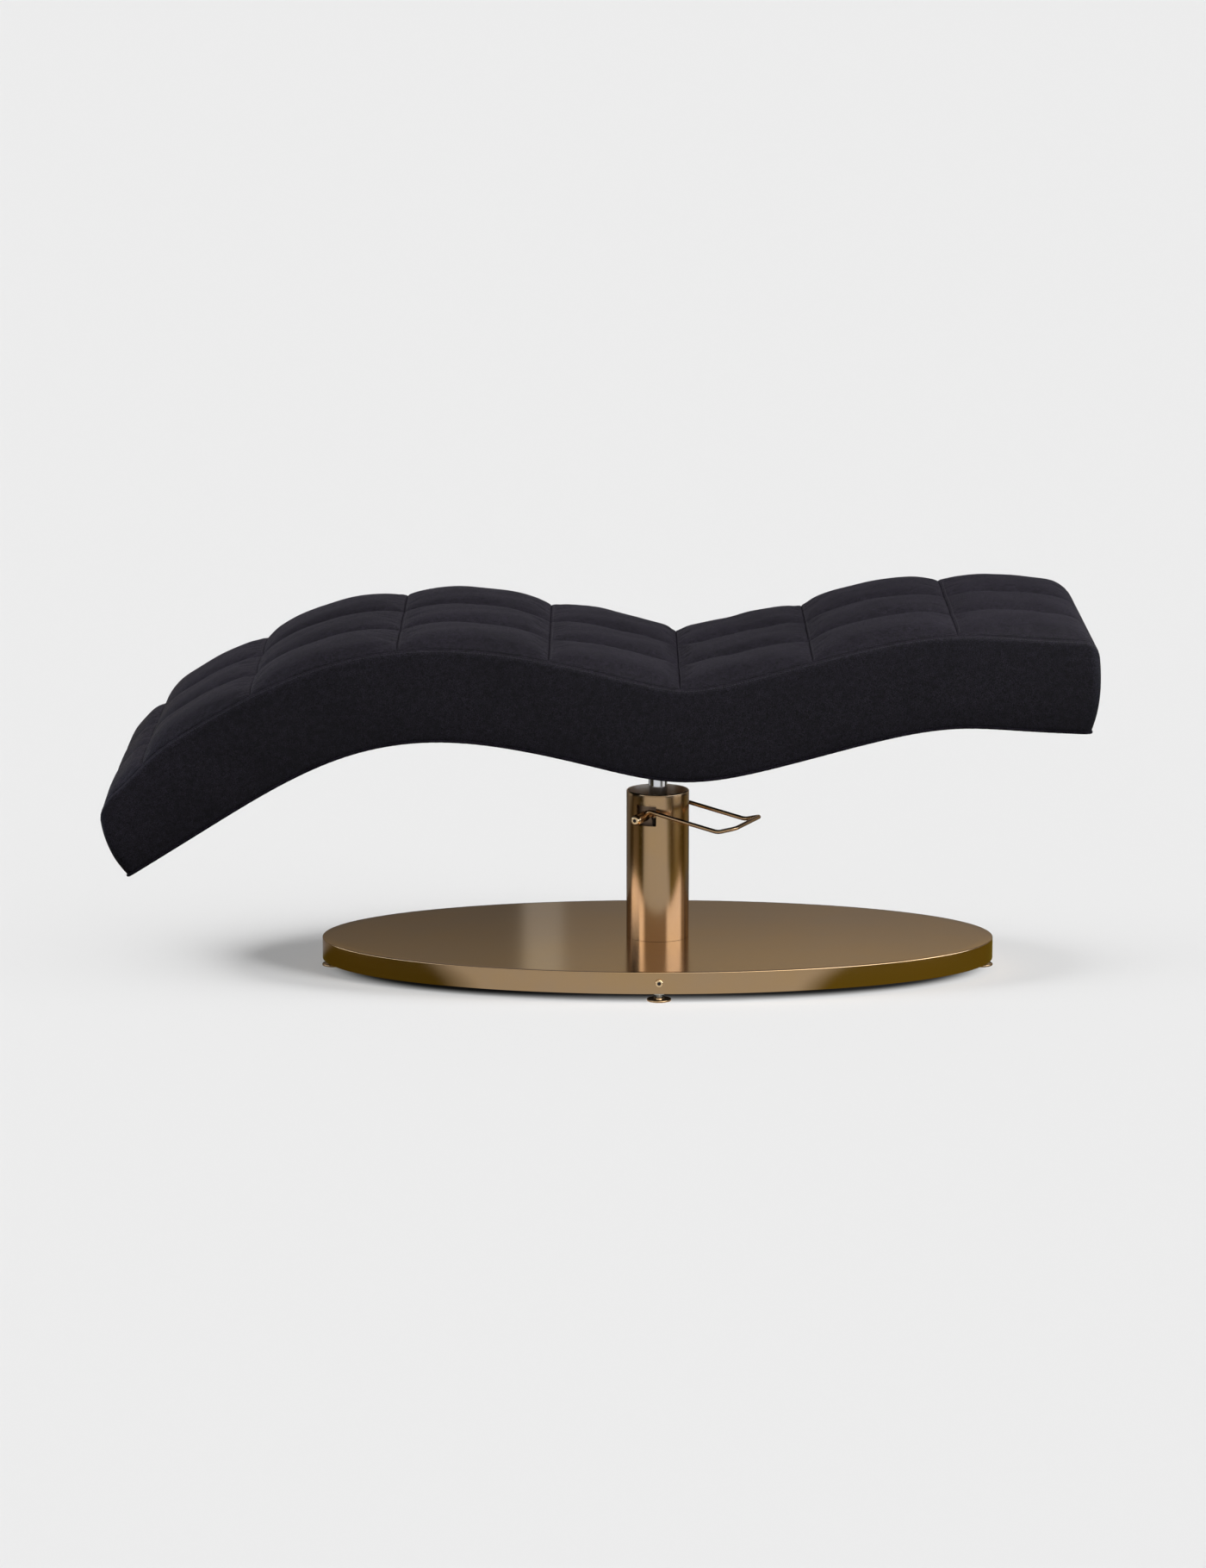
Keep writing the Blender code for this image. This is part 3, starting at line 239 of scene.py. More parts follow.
def socket_head(head_r, head_h, socket_r, socket_depth):
    """A domed head with a six-sided socket, along its own +Z. Rows follow a profile from under the head, over its
    dome and down into the socket, whose radius at an angle is its flat divided by the cosine from that flat."""
    turn = np.arange(48) * 2 * math.pi / 48
    flat = 1 / np.cos((turn + math.pi / 6) % (math.pi / 3) - math.pi / 6)
    dome_w, skirt_h, broken = 0.28 * head_r, 0.35 * head_h, 0.0002
    skirt = np.array([(0, 0), (head_r - broken, 0), (head_r, broken), (head_r, skirt_h)])
    dome = arc((0, 0), 1, 0, 90, 6) * (dome_w, head_h - skirt_h) + (head_r - dome_w, skirt_h)
    outer = np.concatenate([skirt, dome[1:], [(socket_r * 1.25, head_h)]])
    inner = np.array([(socket_r + broken, head_h), (socket_r, head_h - broken), (socket_r, head_h - socket_depth),
                      (0, head_h - socket_depth)])
    radius = np.concatenate([outer[:, :1] * np.ones(48), inner[:, :1] * flat * math.cos(math.pi / 6)])
    height = np.concatenate([outer[:, 1], inner[:, 1]])[:, None]
    return circles(radius, height, turn)


def aim(points, origin, forward, up=(0, 0, 1)):
    """Points with their own +Z turned to a direction, their +Y as near to up as it goes, moved to an origin."""
    forward = np.array(forward, float) / np.linalg.norm(forward)
    side = np.cross(up, forward)
    side = side / np.linalg.norm(side)
    return np.array(origin) + points @ np.stack([side, np.cross(forward, side), forward])


brush_on_small = (1400, 1400, 1400)
bronze_small = brushed_bronze("brushed bronze plate, small parts", brush_on_small)
# The screws' bronze is far lighter than the cover's; its roughness is the same brushed one.
bronze_screw = brushed_bronze("light bronze plate, screws", brush_on_small, ("#e6cba4", "#dfc094"))


def socket_screw(name, head, shank_r, shank_reach, seat, forward, socket_reach):
    """A screw that looks forward from its seat: its head and a plain shank, with the walls and the floor of its
    socket, which lie within a reach of its axis, in black as painted shade in the recess."""
    shank = circles(shank_r, np.array([[0.0001], [-shank_reach]]), np.arange(24) * 2 * math.pi / 24)
    made = build(name, [patch(aim(head, seat, forward), wrap_columns=True),
                        patch(aim(shank, seat, forward), wrap_columns=True, caps=True)], bronze_screw)

    def in_socket(centre):
        """Whether a face's centre is near the axis and in front of the seat."""
        ahead = (centre - seat) @ forward
        aside = np.linalg.norm(centre - seat - ahead[:, None] * forward, axis=1)
        return (aside < socket_reach) & (ahead > 0.0002)

    # The socket's walls and floor take black powder coat: painted shade in the recess.
    second_look(made, black_powder, in_socket)
    return made


seat_gap, rim_head_h, rim_socket_depth, rim_shank_r, rim_shank_reach = 0.0003, 0.0042, 0.0030, 0.003, 0.010
for side, sign in (("front", -1), ("back", 1)):
    low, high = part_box("rim_screw_" + side)
    head_r = (high.z - low.z) / 2
    socket_r = 0.5 * head_r
    seat = np.array([column_x, sign * (half_wide + seat_gap), (low.z + high.z) / 2])
    head = socket_head(head_r, rim_head_h, socket_r, rim_socket_depth)
    screw = socket_screw("bronze_rim_screw_" + side, head, rim_shank_r, rim_shank_reach, seat,
                         np.array([0, sign, 0]), socket_r * 1.02)
    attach(screw, "base")
    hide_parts("rim_screw_" + side)


# Levelling feet: a pressed bronze pad that turns on the end of a zinc-plated threaded stud, with a lock nut above.
# Only the pads and a few millimetres of thread show under the rim.
def turned(profile, count, centre=(0.0, 0.0), ring=False):
    """A profile of (radius, height) points carried round an upright axis; a ring's profile is a closed loop."""
    radius, height = (v[:, None] for v in np.array(profile, float).T)
    turn = np.arange(count) * 2 * math.pi / count
    return patch(circles(radius, height, turn, centre), wrap_rows=ring, wrap_columns=True)


# Clear zinc plating is a cool bright metal with faint cloudy patches from the plating bath.
zinc = patterned("clear zinc plate", {"Metallic": 1.0}, "TexNoise", {"Scale": 240.0, "Detail": 3.0},
                 tones=("#b9bcc0", "#cfcbb8"), dull=(0.25, 0.45))
boss_r, boss_round, cone_foot, skirt_r, skirt_z = 0.0083, 0.0012, (0.0107, 0.0032), 0.0125, 0.0030
roll_high_r, roll_low_r, roll_z = 0.0014, 0.0012, 0.0026
thread_pitch, thread_depth, thread_end, end_chamfer = 0.00175, 0.0005, 0.0015, 0.0006
for side in ("front", "back", "left", "right"):
    low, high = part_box("foot_pad_" + side)
    centre = ((low.x + high.x) / 2, (low.y + high.y) / 2)
    pad_r, pad_top = (high.x - low.x) / 2, high.z
    profile = [(0, pad_top), (boss_r, pad_top), *arc((boss_r, pad_top - boss_round), boss_round, 90, 0, 4).tolist(),
               cone_foot, (skirt_r, skirt_z), (pad_r - 0.001 - roll_high_r, skirt_z),
               *arc((pad_r - roll_high_r, roll_z), roll_high_r, 90, 0, 5).tolist(),
               *arc((pad_r - roll_low_r, roll_low_r), roll_low_r, 0, -90, 4).tolist(), (0, 0)]
    pad = build("bronze_foot_pad_" + side, [turned(profile, 72, centre)], bronze_small)
    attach(pad, "foot_" + side)
    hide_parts("foot_pad_" + side)

    low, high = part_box("foot_stud_" + side)
    stud_r = (high.x - low.x) / 2
    height = np.linspace(low.z, high.z, 1 + int((high.z - low.z) / thread_pitch * 8))[:, None]
    turn = np.arange(24) * 2 * math.pi / 24
    wave = np.abs(((height / thread_pitch - turn / (2 * math.pi)) % 1) * 2 - 1)
    ends = np.clip(np.minimum(height - low.z, high.z - height) / thread_end, 0, 1)
    radius = stud_r - thread_depth * wave * ends - end_chamfer * (1 - ends)
    stud = build("threaded_foot_stud_" + side,
                 [patch(circles(radius, height, turn, centre), wrap_columns=True, caps=True)], zinc, 50)
    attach(stud, "foot_" + side)
    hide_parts("foot_stud_" + side)
finish_node(zinc, "foot_nut_front", "foot_nut_back", "foot_nut_left", "foot_nut_right")


# Hydraulic pump: a steel cylinder on a flange with four bolts, under a milled head that carries the lever's pivot.
# All of it stands inside the column, and the head's flat side shows through the window.
def turned_steel(name, light, dark):
    """Machined and oiled steel: a warm grey metal with the fine marks of the tool going round."""
    return patterned(name, {"Metallic": 1.0}, "TexNoise", {"Scale": 1.0, "Detail": 3.0}, (40, 40, 1600),
                     (dark, light), (0.28, 0.5))


def refined(name, node, look, body, sharp=30.0):
    """A copy of a CAD node whose loose triangles are welded, so that its round faces shade smoothly."""
    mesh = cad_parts[node].data.copy()
    mesh.name = name
    shape = bmesh.new()
    shape.from_mesh(mesh)
    bmesh.ops.remove_doubles(shape, verts=shape.verts, dist=1e-6)
    shape.to_mesh(mesh)
    shape.free()
    for layer in [a.name for a in mesh.attributes if "normal" in a.name.lower()]:
        mesh.attributes.remove(mesh.attributes[layer])
    mesh.shade_smooth()
    mesh.set_sharp_from_angle(angle=math.radians(sharp))
    mesh.materials.clear()
    mesh.materials.append(look)
    made = bpy.data.objects.new(name, mesh)
    bpy.context.scene.collection.objects.link(made)
    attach(made, body)
    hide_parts(node)
    return made


pump_steel = turned_steel("turned pump steel", "#8d8175", "#6f655b")
refined("turned_pump_cylinder", "pump_cylinder", pump_steel, "base")
refined("turned_piston", "piston", pump_steel, "lift_piston")
milled_steel = turned_steel("milled and oiled steel", "#8f7a66", "#655343")
refined("milled_pump_head", "pump_head", milled_steel, "base")
for side in ("near", "far"):
    refined("turned_pivot_pin_" + side, "pivot_pin_" + side, pump_steel, "base")
finish_node(zinc, "flange_bolt_1", "flange_bolt_2", "flange_bolt_3", "flange_bolt_4")


# Plunger and its spring: a blackened steel pin with a button, pushed down by the lever's cam. The spring under the
# button stands on the pump.
black_oxide = turned_steel("blackened steel", "#3a342c", "#211d18")
refined("blackened_plunger", "pump_plunger", black_oxide, "plunger")
spring = refined("return_spring", "plunger_spring", black_oxide, "base", 60)
low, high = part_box("plunger_spring")
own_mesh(spring)


# Column cover: a steel tube of 120 mm with a softly rounded top edge, plated like the base and dropped over the pump.
# Two square windows are punched through it, across the lever's line, for the ends of the pivot.
low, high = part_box("column_cover")
column_r = (high.x - low.x) / 2
column_top, column_foot = high.z, low.z
column_wall, column_fillet, mouth_edge, under_window = 0.003, 0.0024, 0.0002, 0.012
lever_turn = math.radians(23.0)
window_width, window_low, window_high, window_corner = 0.040, 0.284, 0.325, 0.002
brush_on_column = (70, 70, 1000)
bronze_on_column = brushed_bronze("brushed bronze plate, round grain", brush_on_column)

wall_heights = np.concatenate([np.linspace(column_top - column_fillet, window_low - under_window, 16)[1:],
                               np.linspace(window_low - under_window, column_foot, 14)[1:]])
profile = [(column_r - column_wall + mouth_edge, column_top)]
profile += arc((column_r - column_fillet, column_top - column_fillet), column_fillet, 90, 0, 8).tolist()
profile += [(column_r, z) for z in wall_heights]
profile += [(column_r - column_wall, z) for z in wall_heights[::-1]]
profile += [(column_r - column_wall, column_top - mouth_edge)]
column = build("bronze_column_cover", [turned(profile, 192, (column_x, 0), ring=True)], bronze_on_column)

side_x, low_z, high_z = window_width / 2 - window_corner, window_low + window_corner, window_high - window_corner
across, z = np.concatenate([arc(corner, window_corner, begin, begin - 90, 5) for corner, begin in (
    ((side_x, high_z), 90), ((side_x, low_z), 0), ((-side_x, low_z), -90), ((-side_x, high_z), 180))]).T
reach = np.array([[-1.5 * column_r], [1.5 * column_r]])
punch_rows = np.stack(np.broadcast_arrays(column_x + across * math.cos(lever_turn) + reach * math.sin(lever_turn),
                                          reach * math.cos(lever_turn) - across * math.sin(lever_turn), z), -1)
punch = build("window_punch", [patch(punch_rows, wrap_columns=True, caps=True)], bronze_on_column)
window = column.modifiers.new("windows", "BOOLEAN")
window.solver = "EXACT"
window.object = punch
punched = bpy.data.meshes.new_from_object(column.evaluated_get(bpy.context.evaluated_depsgraph_get()))
column.modifiers.clear()
column.data = punched
punched.set_sharp_from_angle(angle=math.radians(35))
bpy.data.objects.remove(punch)
# The inside of the tube is drawn much lighter and warmer than bare steel: painted light in the dim mouth.
inner_steel_painted_light = turned_steel("inner steel tube, lightened as painted light", "#dccbb6", "#c6b49e")
second_look(column, inner_steel_painted_light,
            lambda centre: np.hypot(centre[:, 0] - column_x, centre[:, 1]) < column_r - column_wall + 0.0001)
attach(column, "base")
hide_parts("column_cover")


# Cap, wiper and ram: a plated steel disc on the pump head, down inside the column's open mouth, the black rubber lip
# that wipes the ram, and the hard-chromed ram itself, of which a short length shows below the bed.
# Moulded nitrile rubber is matt black, with a dusty and very fine skin. Ground and polished hard chrome is a bluish
# mirror, with faint grinding rings that only soften its edges.
rubber = patterned("moulded nitrile rubber", {"Base Color": linear("#1b1b1c")}, "TexNoise",
                   {"Scale": 1200.0, "Detail": 2.0}, dull=(0.6, 0.8))
chrome = patterned("ground hard chrome", {"Metallic": 1.0, "Base Color": linear("#e3e4e8")}, "TexNoise",
                   {"Scale": 1.0, "Detail": 2.0}, (30, 30, 2500), dull=(0.05, 0.12))
low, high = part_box("column_cap")
cap_r, cap_bore, bore_edge, cap_round = (high.x - low.x) / 2, 0.0223, 0.0004, 0.0012
profile = [(cap_bore, low.z), (cap_bore, high.z - bore_edge), (cap_bore + bore_edge, high.z),
           (cap_r - cap_round, high.z), *arc((cap_r - cap_round, high.z - cap_round), cap_round, 90, 0, 5).tolist(),
           (cap_r, low.z)]
cap = build("bronze_column_cap", [turned(profile, 128, (column_x, 0), ring=True)], bronze_on_base)
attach(cap, "base")
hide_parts("column_cap")

low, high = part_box("ram_wiper")
ram_r, wiper_r, wiper_bore, wiper_round = 0.018, (high.x - low.x) / 2, 0.0182, 0.0016
profile = [(wiper_bore, low.z), (wiper_bore, high.z - 0.0003), (wiper_bore + 0.0004, high.z),
           *arc((wiper_r - wiper_round, high.z - wiper_round), wiper_round, 90, 0, 5).tolist(), (wiper_r, low.z)]
wiper = build("rubber_ram_wiper", [turned(profile, 96, (column_x, 0), ring=True)], rubber)
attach(wiper, "base")
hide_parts("ram_wiper")

low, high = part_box("ram")
ram_chamfer = 0.0015
profile = [(0, high.z), (ram_r - ram_chamfer, high.z), (ram_r, high.z - ram_chamfer),
           (ram_r, (low.z + high.z) / 2), (ram_r, low.z), (0, low.z)]
ram = build("chromed_ram", [turned(profile, 96, (column_x, 0))], chrome)
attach(ram, "bed")
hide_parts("ram")


# Pump lever: one loop of 8 mm steel rod with cranked roots, welded to two hubs that turn on the pivot pins, and a
# socket screw in each end. It is plated like the rest, and a foot presses its far end.
def rounded(corners, radii, steps):
    """A path of straight runs whose corners are arcs: each arc's centre lies on the corner's bisector, and its
    points turn evenly from one run's tangent point to the next."""
    path = [corners[0]]
    for before, corner, after, radius in zip(corners, corners[1:], corners[2:], radii):
        back = (before - corner) / np.linalg.norm(before - corner)
        ahead = (after - corner) / np.linalg.norm(after - corner)
        half = math.acos(np.clip(back @ ahead, -1, 1)) / 2
        centre = corner + (back + ahead) / np.linalg.norm(back + ahead) * (radius / math.sin(half))
        first = corner + back * (radius / math.tan(half)) - centre
        last = corner + ahead * (radius / math.tan(half)) - centre
        sweep = math.pi - 2 * half
        share = np.linspace(0, 1, steps + 1)[:, None]
        path += list(centre + (np.sin((1 - share) * sweep) * first + np.sin(share * sweep) * last) / math.sin(sweep))
    return np.array(path + [corners[-1]])


def tube(path, radius, sides, up=(0, 0, 1), closed=False):
    """A circle carried along a path: it stands square to the path, on a side line that is square to up as well."""
    if closed:
        ahead = np.roll(path, -1, axis=0) - np.roll(path, 1, axis=0)
    else:
        ahead = np.gradient(path, axis=0)
    ahead = ahead / np.linalg.norm(ahead, axis=1, keepdims=True)
    side = np.cross(ahead, up)
    side = side / np.linalg.norm(side, axis=1, keepdims=True)
    lift = np.cross(side, ahead)
    turn = (np.arange(sides) * 2 * math.pi / sides)[None, :, None]
    reach = np.reshape(radius, (-1, 1, 1)) * np.ones((len(path), 1, 1))
    points = path[:, None] + reach * (side[:, None] * np.cos(turn) + lift[:, None] * np.sin(turn))
    return patch(points, wrap_rows=closed, wrap_columns=True, caps=not closed)


def lever_place(points):
    """Points in the lever's own frame, turned with it about the column and lifted to its pivot."""
    x, y, z = np.array(points, float).T
    return np.stack([column_x + x * math.cos(lever_turn) + y * math.sin(lever_turn),
                     y * math.cos(lever_turn) - x * math.sin(lever_turn), pivot_z + z], -1)


pivot_z, rod_r, arm_spread, tip_spread = 0.3045, 0.004, 0.070, 0.064
root, knee = 0.0118 * math.sqrt(0.5), 0.0150 * math.sqrt(0.5)
elbow_x, elbow_z, tip_x, tip_z = 0.152, -0.0185, 0.186, -0.0095
near_run = [(root, -arm_spread, root), (knee, -arm_spread, knee), (elbow_x, -arm_spread, elbow_z),
            (tip_x, -tip_spread, tip_z)]
far_run = [(x, -y, z) for x, y, z in near_run[::-1]]
bends = [0.008, 0.030, 0.012]
path = rounded(np.array(near_run + far_run), bends + bends[::-1], 14)
bail = build("bronze_lever_bail", [tube(lever_place(path), rod_r, 28)], bronze_small)
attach(bail, "pump_lever")
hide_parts("lever_bail")

outwards = np.array([math.sin(lever_turn), math.cos(lever_turn), 0])
hub_end, end_shank_r, end_shank_reach = 0.1098, 0.0025, 0.0135
end_head_r, end_head_h, end_socket_r, end_socket_depth = 0.0085, 0.0055, 0.0036, 0.0036
for side, sign in (("near", -1), ("far", 1)):
    refined("bronze_lever_hub_" + side, "lever_hub_" + side, bronze_small, "pump_lever", 40)
    head = socket_head(end_head_r, end_head_h, end_socket_r, end_socket_depth)
    seat = np.array([column_x, 0, pivot_z]) + sign * outwards * hub_end
    screw = socket_screw("bronze_lever_screw_" + side, head, end_shank_r, end_shank_reach, seat, sign * outwards,
                         end_socket_r + 0.0001)
    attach(screw, "pump_lever")
    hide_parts("lever_screw_" + side)


# Bed carrier: a seat hub on the ram, a mount plate welded to it, a shaped birch block that fills between the plate
# and the wave, and four zinc-plated bolts up into the deck.
def birch_plywood():
    """Birch plywood: pale wood with long grain, in 1.5 mm plies whose edges show light and dark in turn."""
    made, tree, place = start("birch plywood", {})
    along = add(tree, "Mapping", {"Scale": (4, 90, 90)}, {"Vector": place})
    grain = add(tree, "TexNoise", {"Scale": 1.0, "Detail": 5.0, "Roughness": 0.6}, {"Vector": along})
    plies = add(tree, "TexWave", {"bands_direction": "Z", "Scale": 105.0, "Distortion": 0.6}, {"Vector": place}, 1)
    tone = add(tree, "Mix", {"data_type": "RGBA", 6: linear("#c9a678"), 7: linear("#b48a5c")}, {0: grain}, 2)
    edges = add(tree, "Mix", {"data_type": "RGBA", "blend_type": "MULTIPLY", 0: 0.35, 7: linear("#a57f58")},
                {6: tone}, 2)
    band = add(tree, "Mix", {"data_type": "RGBA"}, {0: plies, 6: tone, 7: edges}, 2)
    dull = add(tree, "MapRange", {"To Min": 0.5, "To Max": 0.7}, {"Value": grain})
    return finished(made, {"Base Color": band, "Roughness": dull})


birch = birch_plywood()
refined("coated_seat_hub", "seat_hub", black_powder, "bed")
finish_node(black_powder, "mount_plate")
finish_node(birch, "packing_block", "plywood_deck")
finish_node(zinc, "mount_bolt_1", "mount_bolt_2", "mount_bolt_3", "mount_bolt_4")


# Shape of the bed: every layer of it lies in one curved space, with a length along the wave, a distance across and a
# height above the underside. The low end leans in towards its top, and the raised end's top edge is rounded.
bed_width, bed_depth = 0.660, 0.1745
wave_run, wave_rise, column_at_share = 1.7955, 0.283, 0.5525
wave_shares = ((0, 0), (0.08, 0.317), (0.155, 0.604), (0.225, 0.807), (0.315, 0.909), (0.405, 0.857),
               (0.48, 0.7525), (0.575, 0.6445), (0.665, 0.726), (0.775, 0.910), (0.86, 1), (0.93, 0.9845),
               (1, 0.963))
underside_over_plate = 0.0191
nose_in, nose_down, nose_length, nose_bulge, nose_edge_r = 0.042, 0.007, 0.215, 0.004, 0.040
head_bulge, head_length, head_edge_r, side_swell = 0.010, 0.240, 0.027, 0.003


def wave_height(share):
    """Natural cubic spline through the wave's points: the bends at the points solve one banded set of equations,
    and between two points the height is the cubic with those bends."""
    x, z = np.array(wave_shares, float).T
    h = np.diff(x)
    inner = np.arange(1, len(x) - 1)
    rows, right = np.eye(len(x)), np.zeros(len(x))
    rows[inner, inner - 1], rows[inner, inner], rows[inner, inner + 1] = h[:-1], 2 * (h[:-1] + h[1:]), h[1:]
    right[inner] = 6 * np.diff(np.diff(z) / h)
    bend = np.linalg.solve(rows, right)
    k = np.searchsorted(x[1:-1], share)
    t, run = share - x[k], h[k]
    slope = (z[k + 1] - z[k]) / run - run * (2 * bend[k] + bend[k + 1]) / 6
    return z[k] + t * slope + t ** 2 * bend[k] / 2 + t ** 3 * (bend[k + 1] - bend[k]) / (6 * run)


run_share = np.linspace(0, 1, 1201)
wave_x = wave_run * (run_share - column_at_share)
wave_z = wave_rise * (wave_height(run_share) - wave_height(np.array([column_at_share])))
wave_z = wave_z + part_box("mount_plate")[1].z + underside_over_plate
wave_length = np.concatenate([[0], np.cumsum(np.hypot(np.diff(wave_x), np.diff(wave_z)))])
bed_length = wave_length[-1]


def fade(share):
    """Falls smoothly from 1 at 0 to 0 at 1, level at both ends."""
    share = np.clip(share, 0, 1)
    return 1 - share ** 2 * (3 - 2 * share)


def bed_points(along, across, up):
    """World points of places in the bed: the point of the wave at that length, moved along the wave's normal by the
    height, bulged in the middle of the depth, leant in at the low end and rounded off at both ends' top edges."""
    along, across, up = (np.asarray(v, float) for v in np.broadcast_arrays(along, across, up))
    tangent_x = np.gradient(wave_x, wave_length)
    tangent_z = np.gradient(wave_z, wave_length)
    x, z, tx, tz = (np.interp(along, wave_length, v) for v in (wave_x, wave_z, tangent_x, tangent_z))
    size = np.hypot(tx, tz)
    tx, tz = tx / size, tz / size
    to_head = bed_length - along
    drop_share = np.clip(up / bed_depth, 0, 1) ** 2
    for distance, radius in ((along, nose_edge_r), (to_head, head_edge_r)):
        inside = np.clip(1 - distance / radius, 0, 1)
        up = up - radius * (1 - np.sqrt(1 - inside ** 2)) * drop_share
    share = up / bed_depth
    middle = 4 * np.clip(share, 0, 1) * (1 - np.clip(share, 0, 1))
    near_low = fade(along / nose_length)
    push = middle * (head_bulge * fade(to_head / head_length) - nose_bulge * near_low)
    return np.stack([column_x + x - tz * up + tx * push + near_low * share ** 2 * nose_in,
                     across * (1 + middle * side_swell / (bed_width / 2)),
                     z + tx * up + tz * push - near_low * share ** 2 * nose_down], -1)


plan_corner_r = 0.018


def plan_outline(spacing, corner_steps):
    """The closed outline of the bed in plan, as (along, across) points and their outward normals: four straight
    sides and four corner arcs, all at nearly the same spacing, near side first."""
    half = bed_width / 2
    low, high, side = plan_corner_r, bed_length - plan_corner_r, half - plan_corner_r
    corners = [(high, -side, -90), (high, side, 0), (low, side, 90), (low, -side, 180)]
    turns = np.concatenate([np.radians(np.linspace(a, a + 90, corner_steps + 1)) for x, y, a in corners])
    centres = np.repeat([(x, y) for x, y, a in corners], corner_steps + 1, axis=0)
    normals = np.stack([np.cos(turns), np.sin(turns)], -1)
    points = centres + plan_corner_r * normals
    ahead = np.roll(points, -1, axis=0)
    gap = np.linalg.norm(ahead - points, axis=1)
    steps = np.where(gap > 2 * plan_corner_r, np.ceil(gap / spacing), 1).astype(int)
    share = np.concatenate([np.arange(n) / n for n in steps])[:, None]
    pick = np.repeat(np.arange(len(points)), steps)
    outline = points[pick] * (1 - share) + ahead[pick] * share
    facing = normals[pick] * (1 - share) + np.roll(normals, -1, axis=0)[pick] * share
    return outline, facing / np.linalg.norm(facing, axis=1, keepdims=True)


# Underlining: black polypropylene cloth stapled across the underside, cut out where the packing block passes.
# Spunbonded cloth is matt black, with a soft fleck of pressed fibres, drawn at 3 mm so that it shows.
black_cloth = patterned("spunbonded black cloth", {"Specular IOR Level": 0.2}, "TexVoronoi", {"Scale": 330.0},
                        tones=("#141416", "#1f1f22"), dull=(0.8, 0.95), relief=(0.3, 0.0002))
trim_inset, cut_gap = 0.0053, 0.0006
cloth_low, cloth_high = 0.0002, 0.0010
block_low, block_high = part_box("packing_block")
cut_x, cut_y = (np.array([low - cut_gap, high + cut_gap]) for low, high in zip(block_low[:2], block_high[:2]))
along_lines = np.interp(cut_x - column_x, wave_x, wave_length)
along_lines = np.sort(np.concatenate([np.linspace(trim_inset, bed_length - trim_inset, 240), along_lines]))
across_half = bed_width / 2 - trim_inset
across_lines = np.sort(np.concatenate([np.linspace(-across_half, across_half, 40), cut_y]))
middle_x = column_x + np.interp((along_lines[1:] + along_lines[:-1]) / 2, wave_length, wave_x)[:, None]
middle_y = (across_lines[1:] + across_lines[:-1]) / 2
inside = (middle_x > cut_x[0]) & (middle_x < cut_x[1]) & (middle_y > cut_y[0]) & (middle_y < cut_y[1])
points, faces = patch(bed_points(along_lines[:, None], across_lines, (cloth_low + cloth_high) / 2))
kept = [f for f, gone in zip(faces, inside.reshape(-1).tolist()) if not gone]
used = sorted({k for f in kept for k in f})
renumber = {k: n for n, k in enumerate(used)}
underlining = build("stapled_underlining", [(points[used], [[renumber[k] for k in f] for f in kept])],
                    black_cloth, 60)
sheet = underlining.modifiers.new("cloth thickness", "SOLIDIFY")
sheet.thickness = cloth_high - cloth_low
sheet.offset = 0
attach(underlining, "bed")
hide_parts("dust_cover")


# Foam core: a block of firm polyurethane foam cut to the wave and glued on the deck. It gives the bed its body.
def half_width(along, inset):
    """Half the bed's width at a length along it, moved in by an inset: the plan's corners are quarter circles."""
    radius = plan_corner_r - inset
    short = np.clip(plan_corner_r - np.minimum(along, bed_length - along), 0, radius)
    return bed_width / 2 - plan_corner_r + np.sqrt(radius ** 2 - short ** 2)


# Cut foam is cream and quite matt, with open cells of about 1 mm.
cut_foam = patterned("cut upholstery foam", {"Specular IOR Level": 0.2, "Roughness": 0.95}, "TexVoronoi",
                     {"Scale": 900.0}, tones=("#a99a70", "#ddd0a6"), relief=(0.6, 0.0004))
foam_inset, foam_low, foam_high, foam_end = 0.0054, 0.0170, 0.1495, 0.03
near_end = plan_corner_r - (plan_corner_r - foam_inset) * np.cos(np.linspace(0, math.pi / 2, 6))
foam_along = np.linspace(foam_end, bed_length - foam_end, 150)
foam_along = np.concatenate([near_end, foam_along, bed_length - near_end[::-1]])
foam_half = half_width(foam_along, foam_inset)[:, None]
foam_across = foam_half * np.linspace(-1, 1, 30)
foam_ups = np.linspace(foam_low, foam_high, 7)
foam_patches = [patch(bed_points(foam_along[:, None], foam_across, up)) for up in (foam_low, foam_high)]
foam_patches += [patch(bed_points(foam_along[:, None], side * foam_half, foam_ups)) for side in (-1, 1)]
foam_patches += [patch(bed_points(foam_along[k], foam_across[k], foam_ups[:, None])) for k in (0, -1)]
foam = build("moulded_foam_core", foam_patches, cut_foam, 50)
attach(foam, "bed")
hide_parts("foam_core")


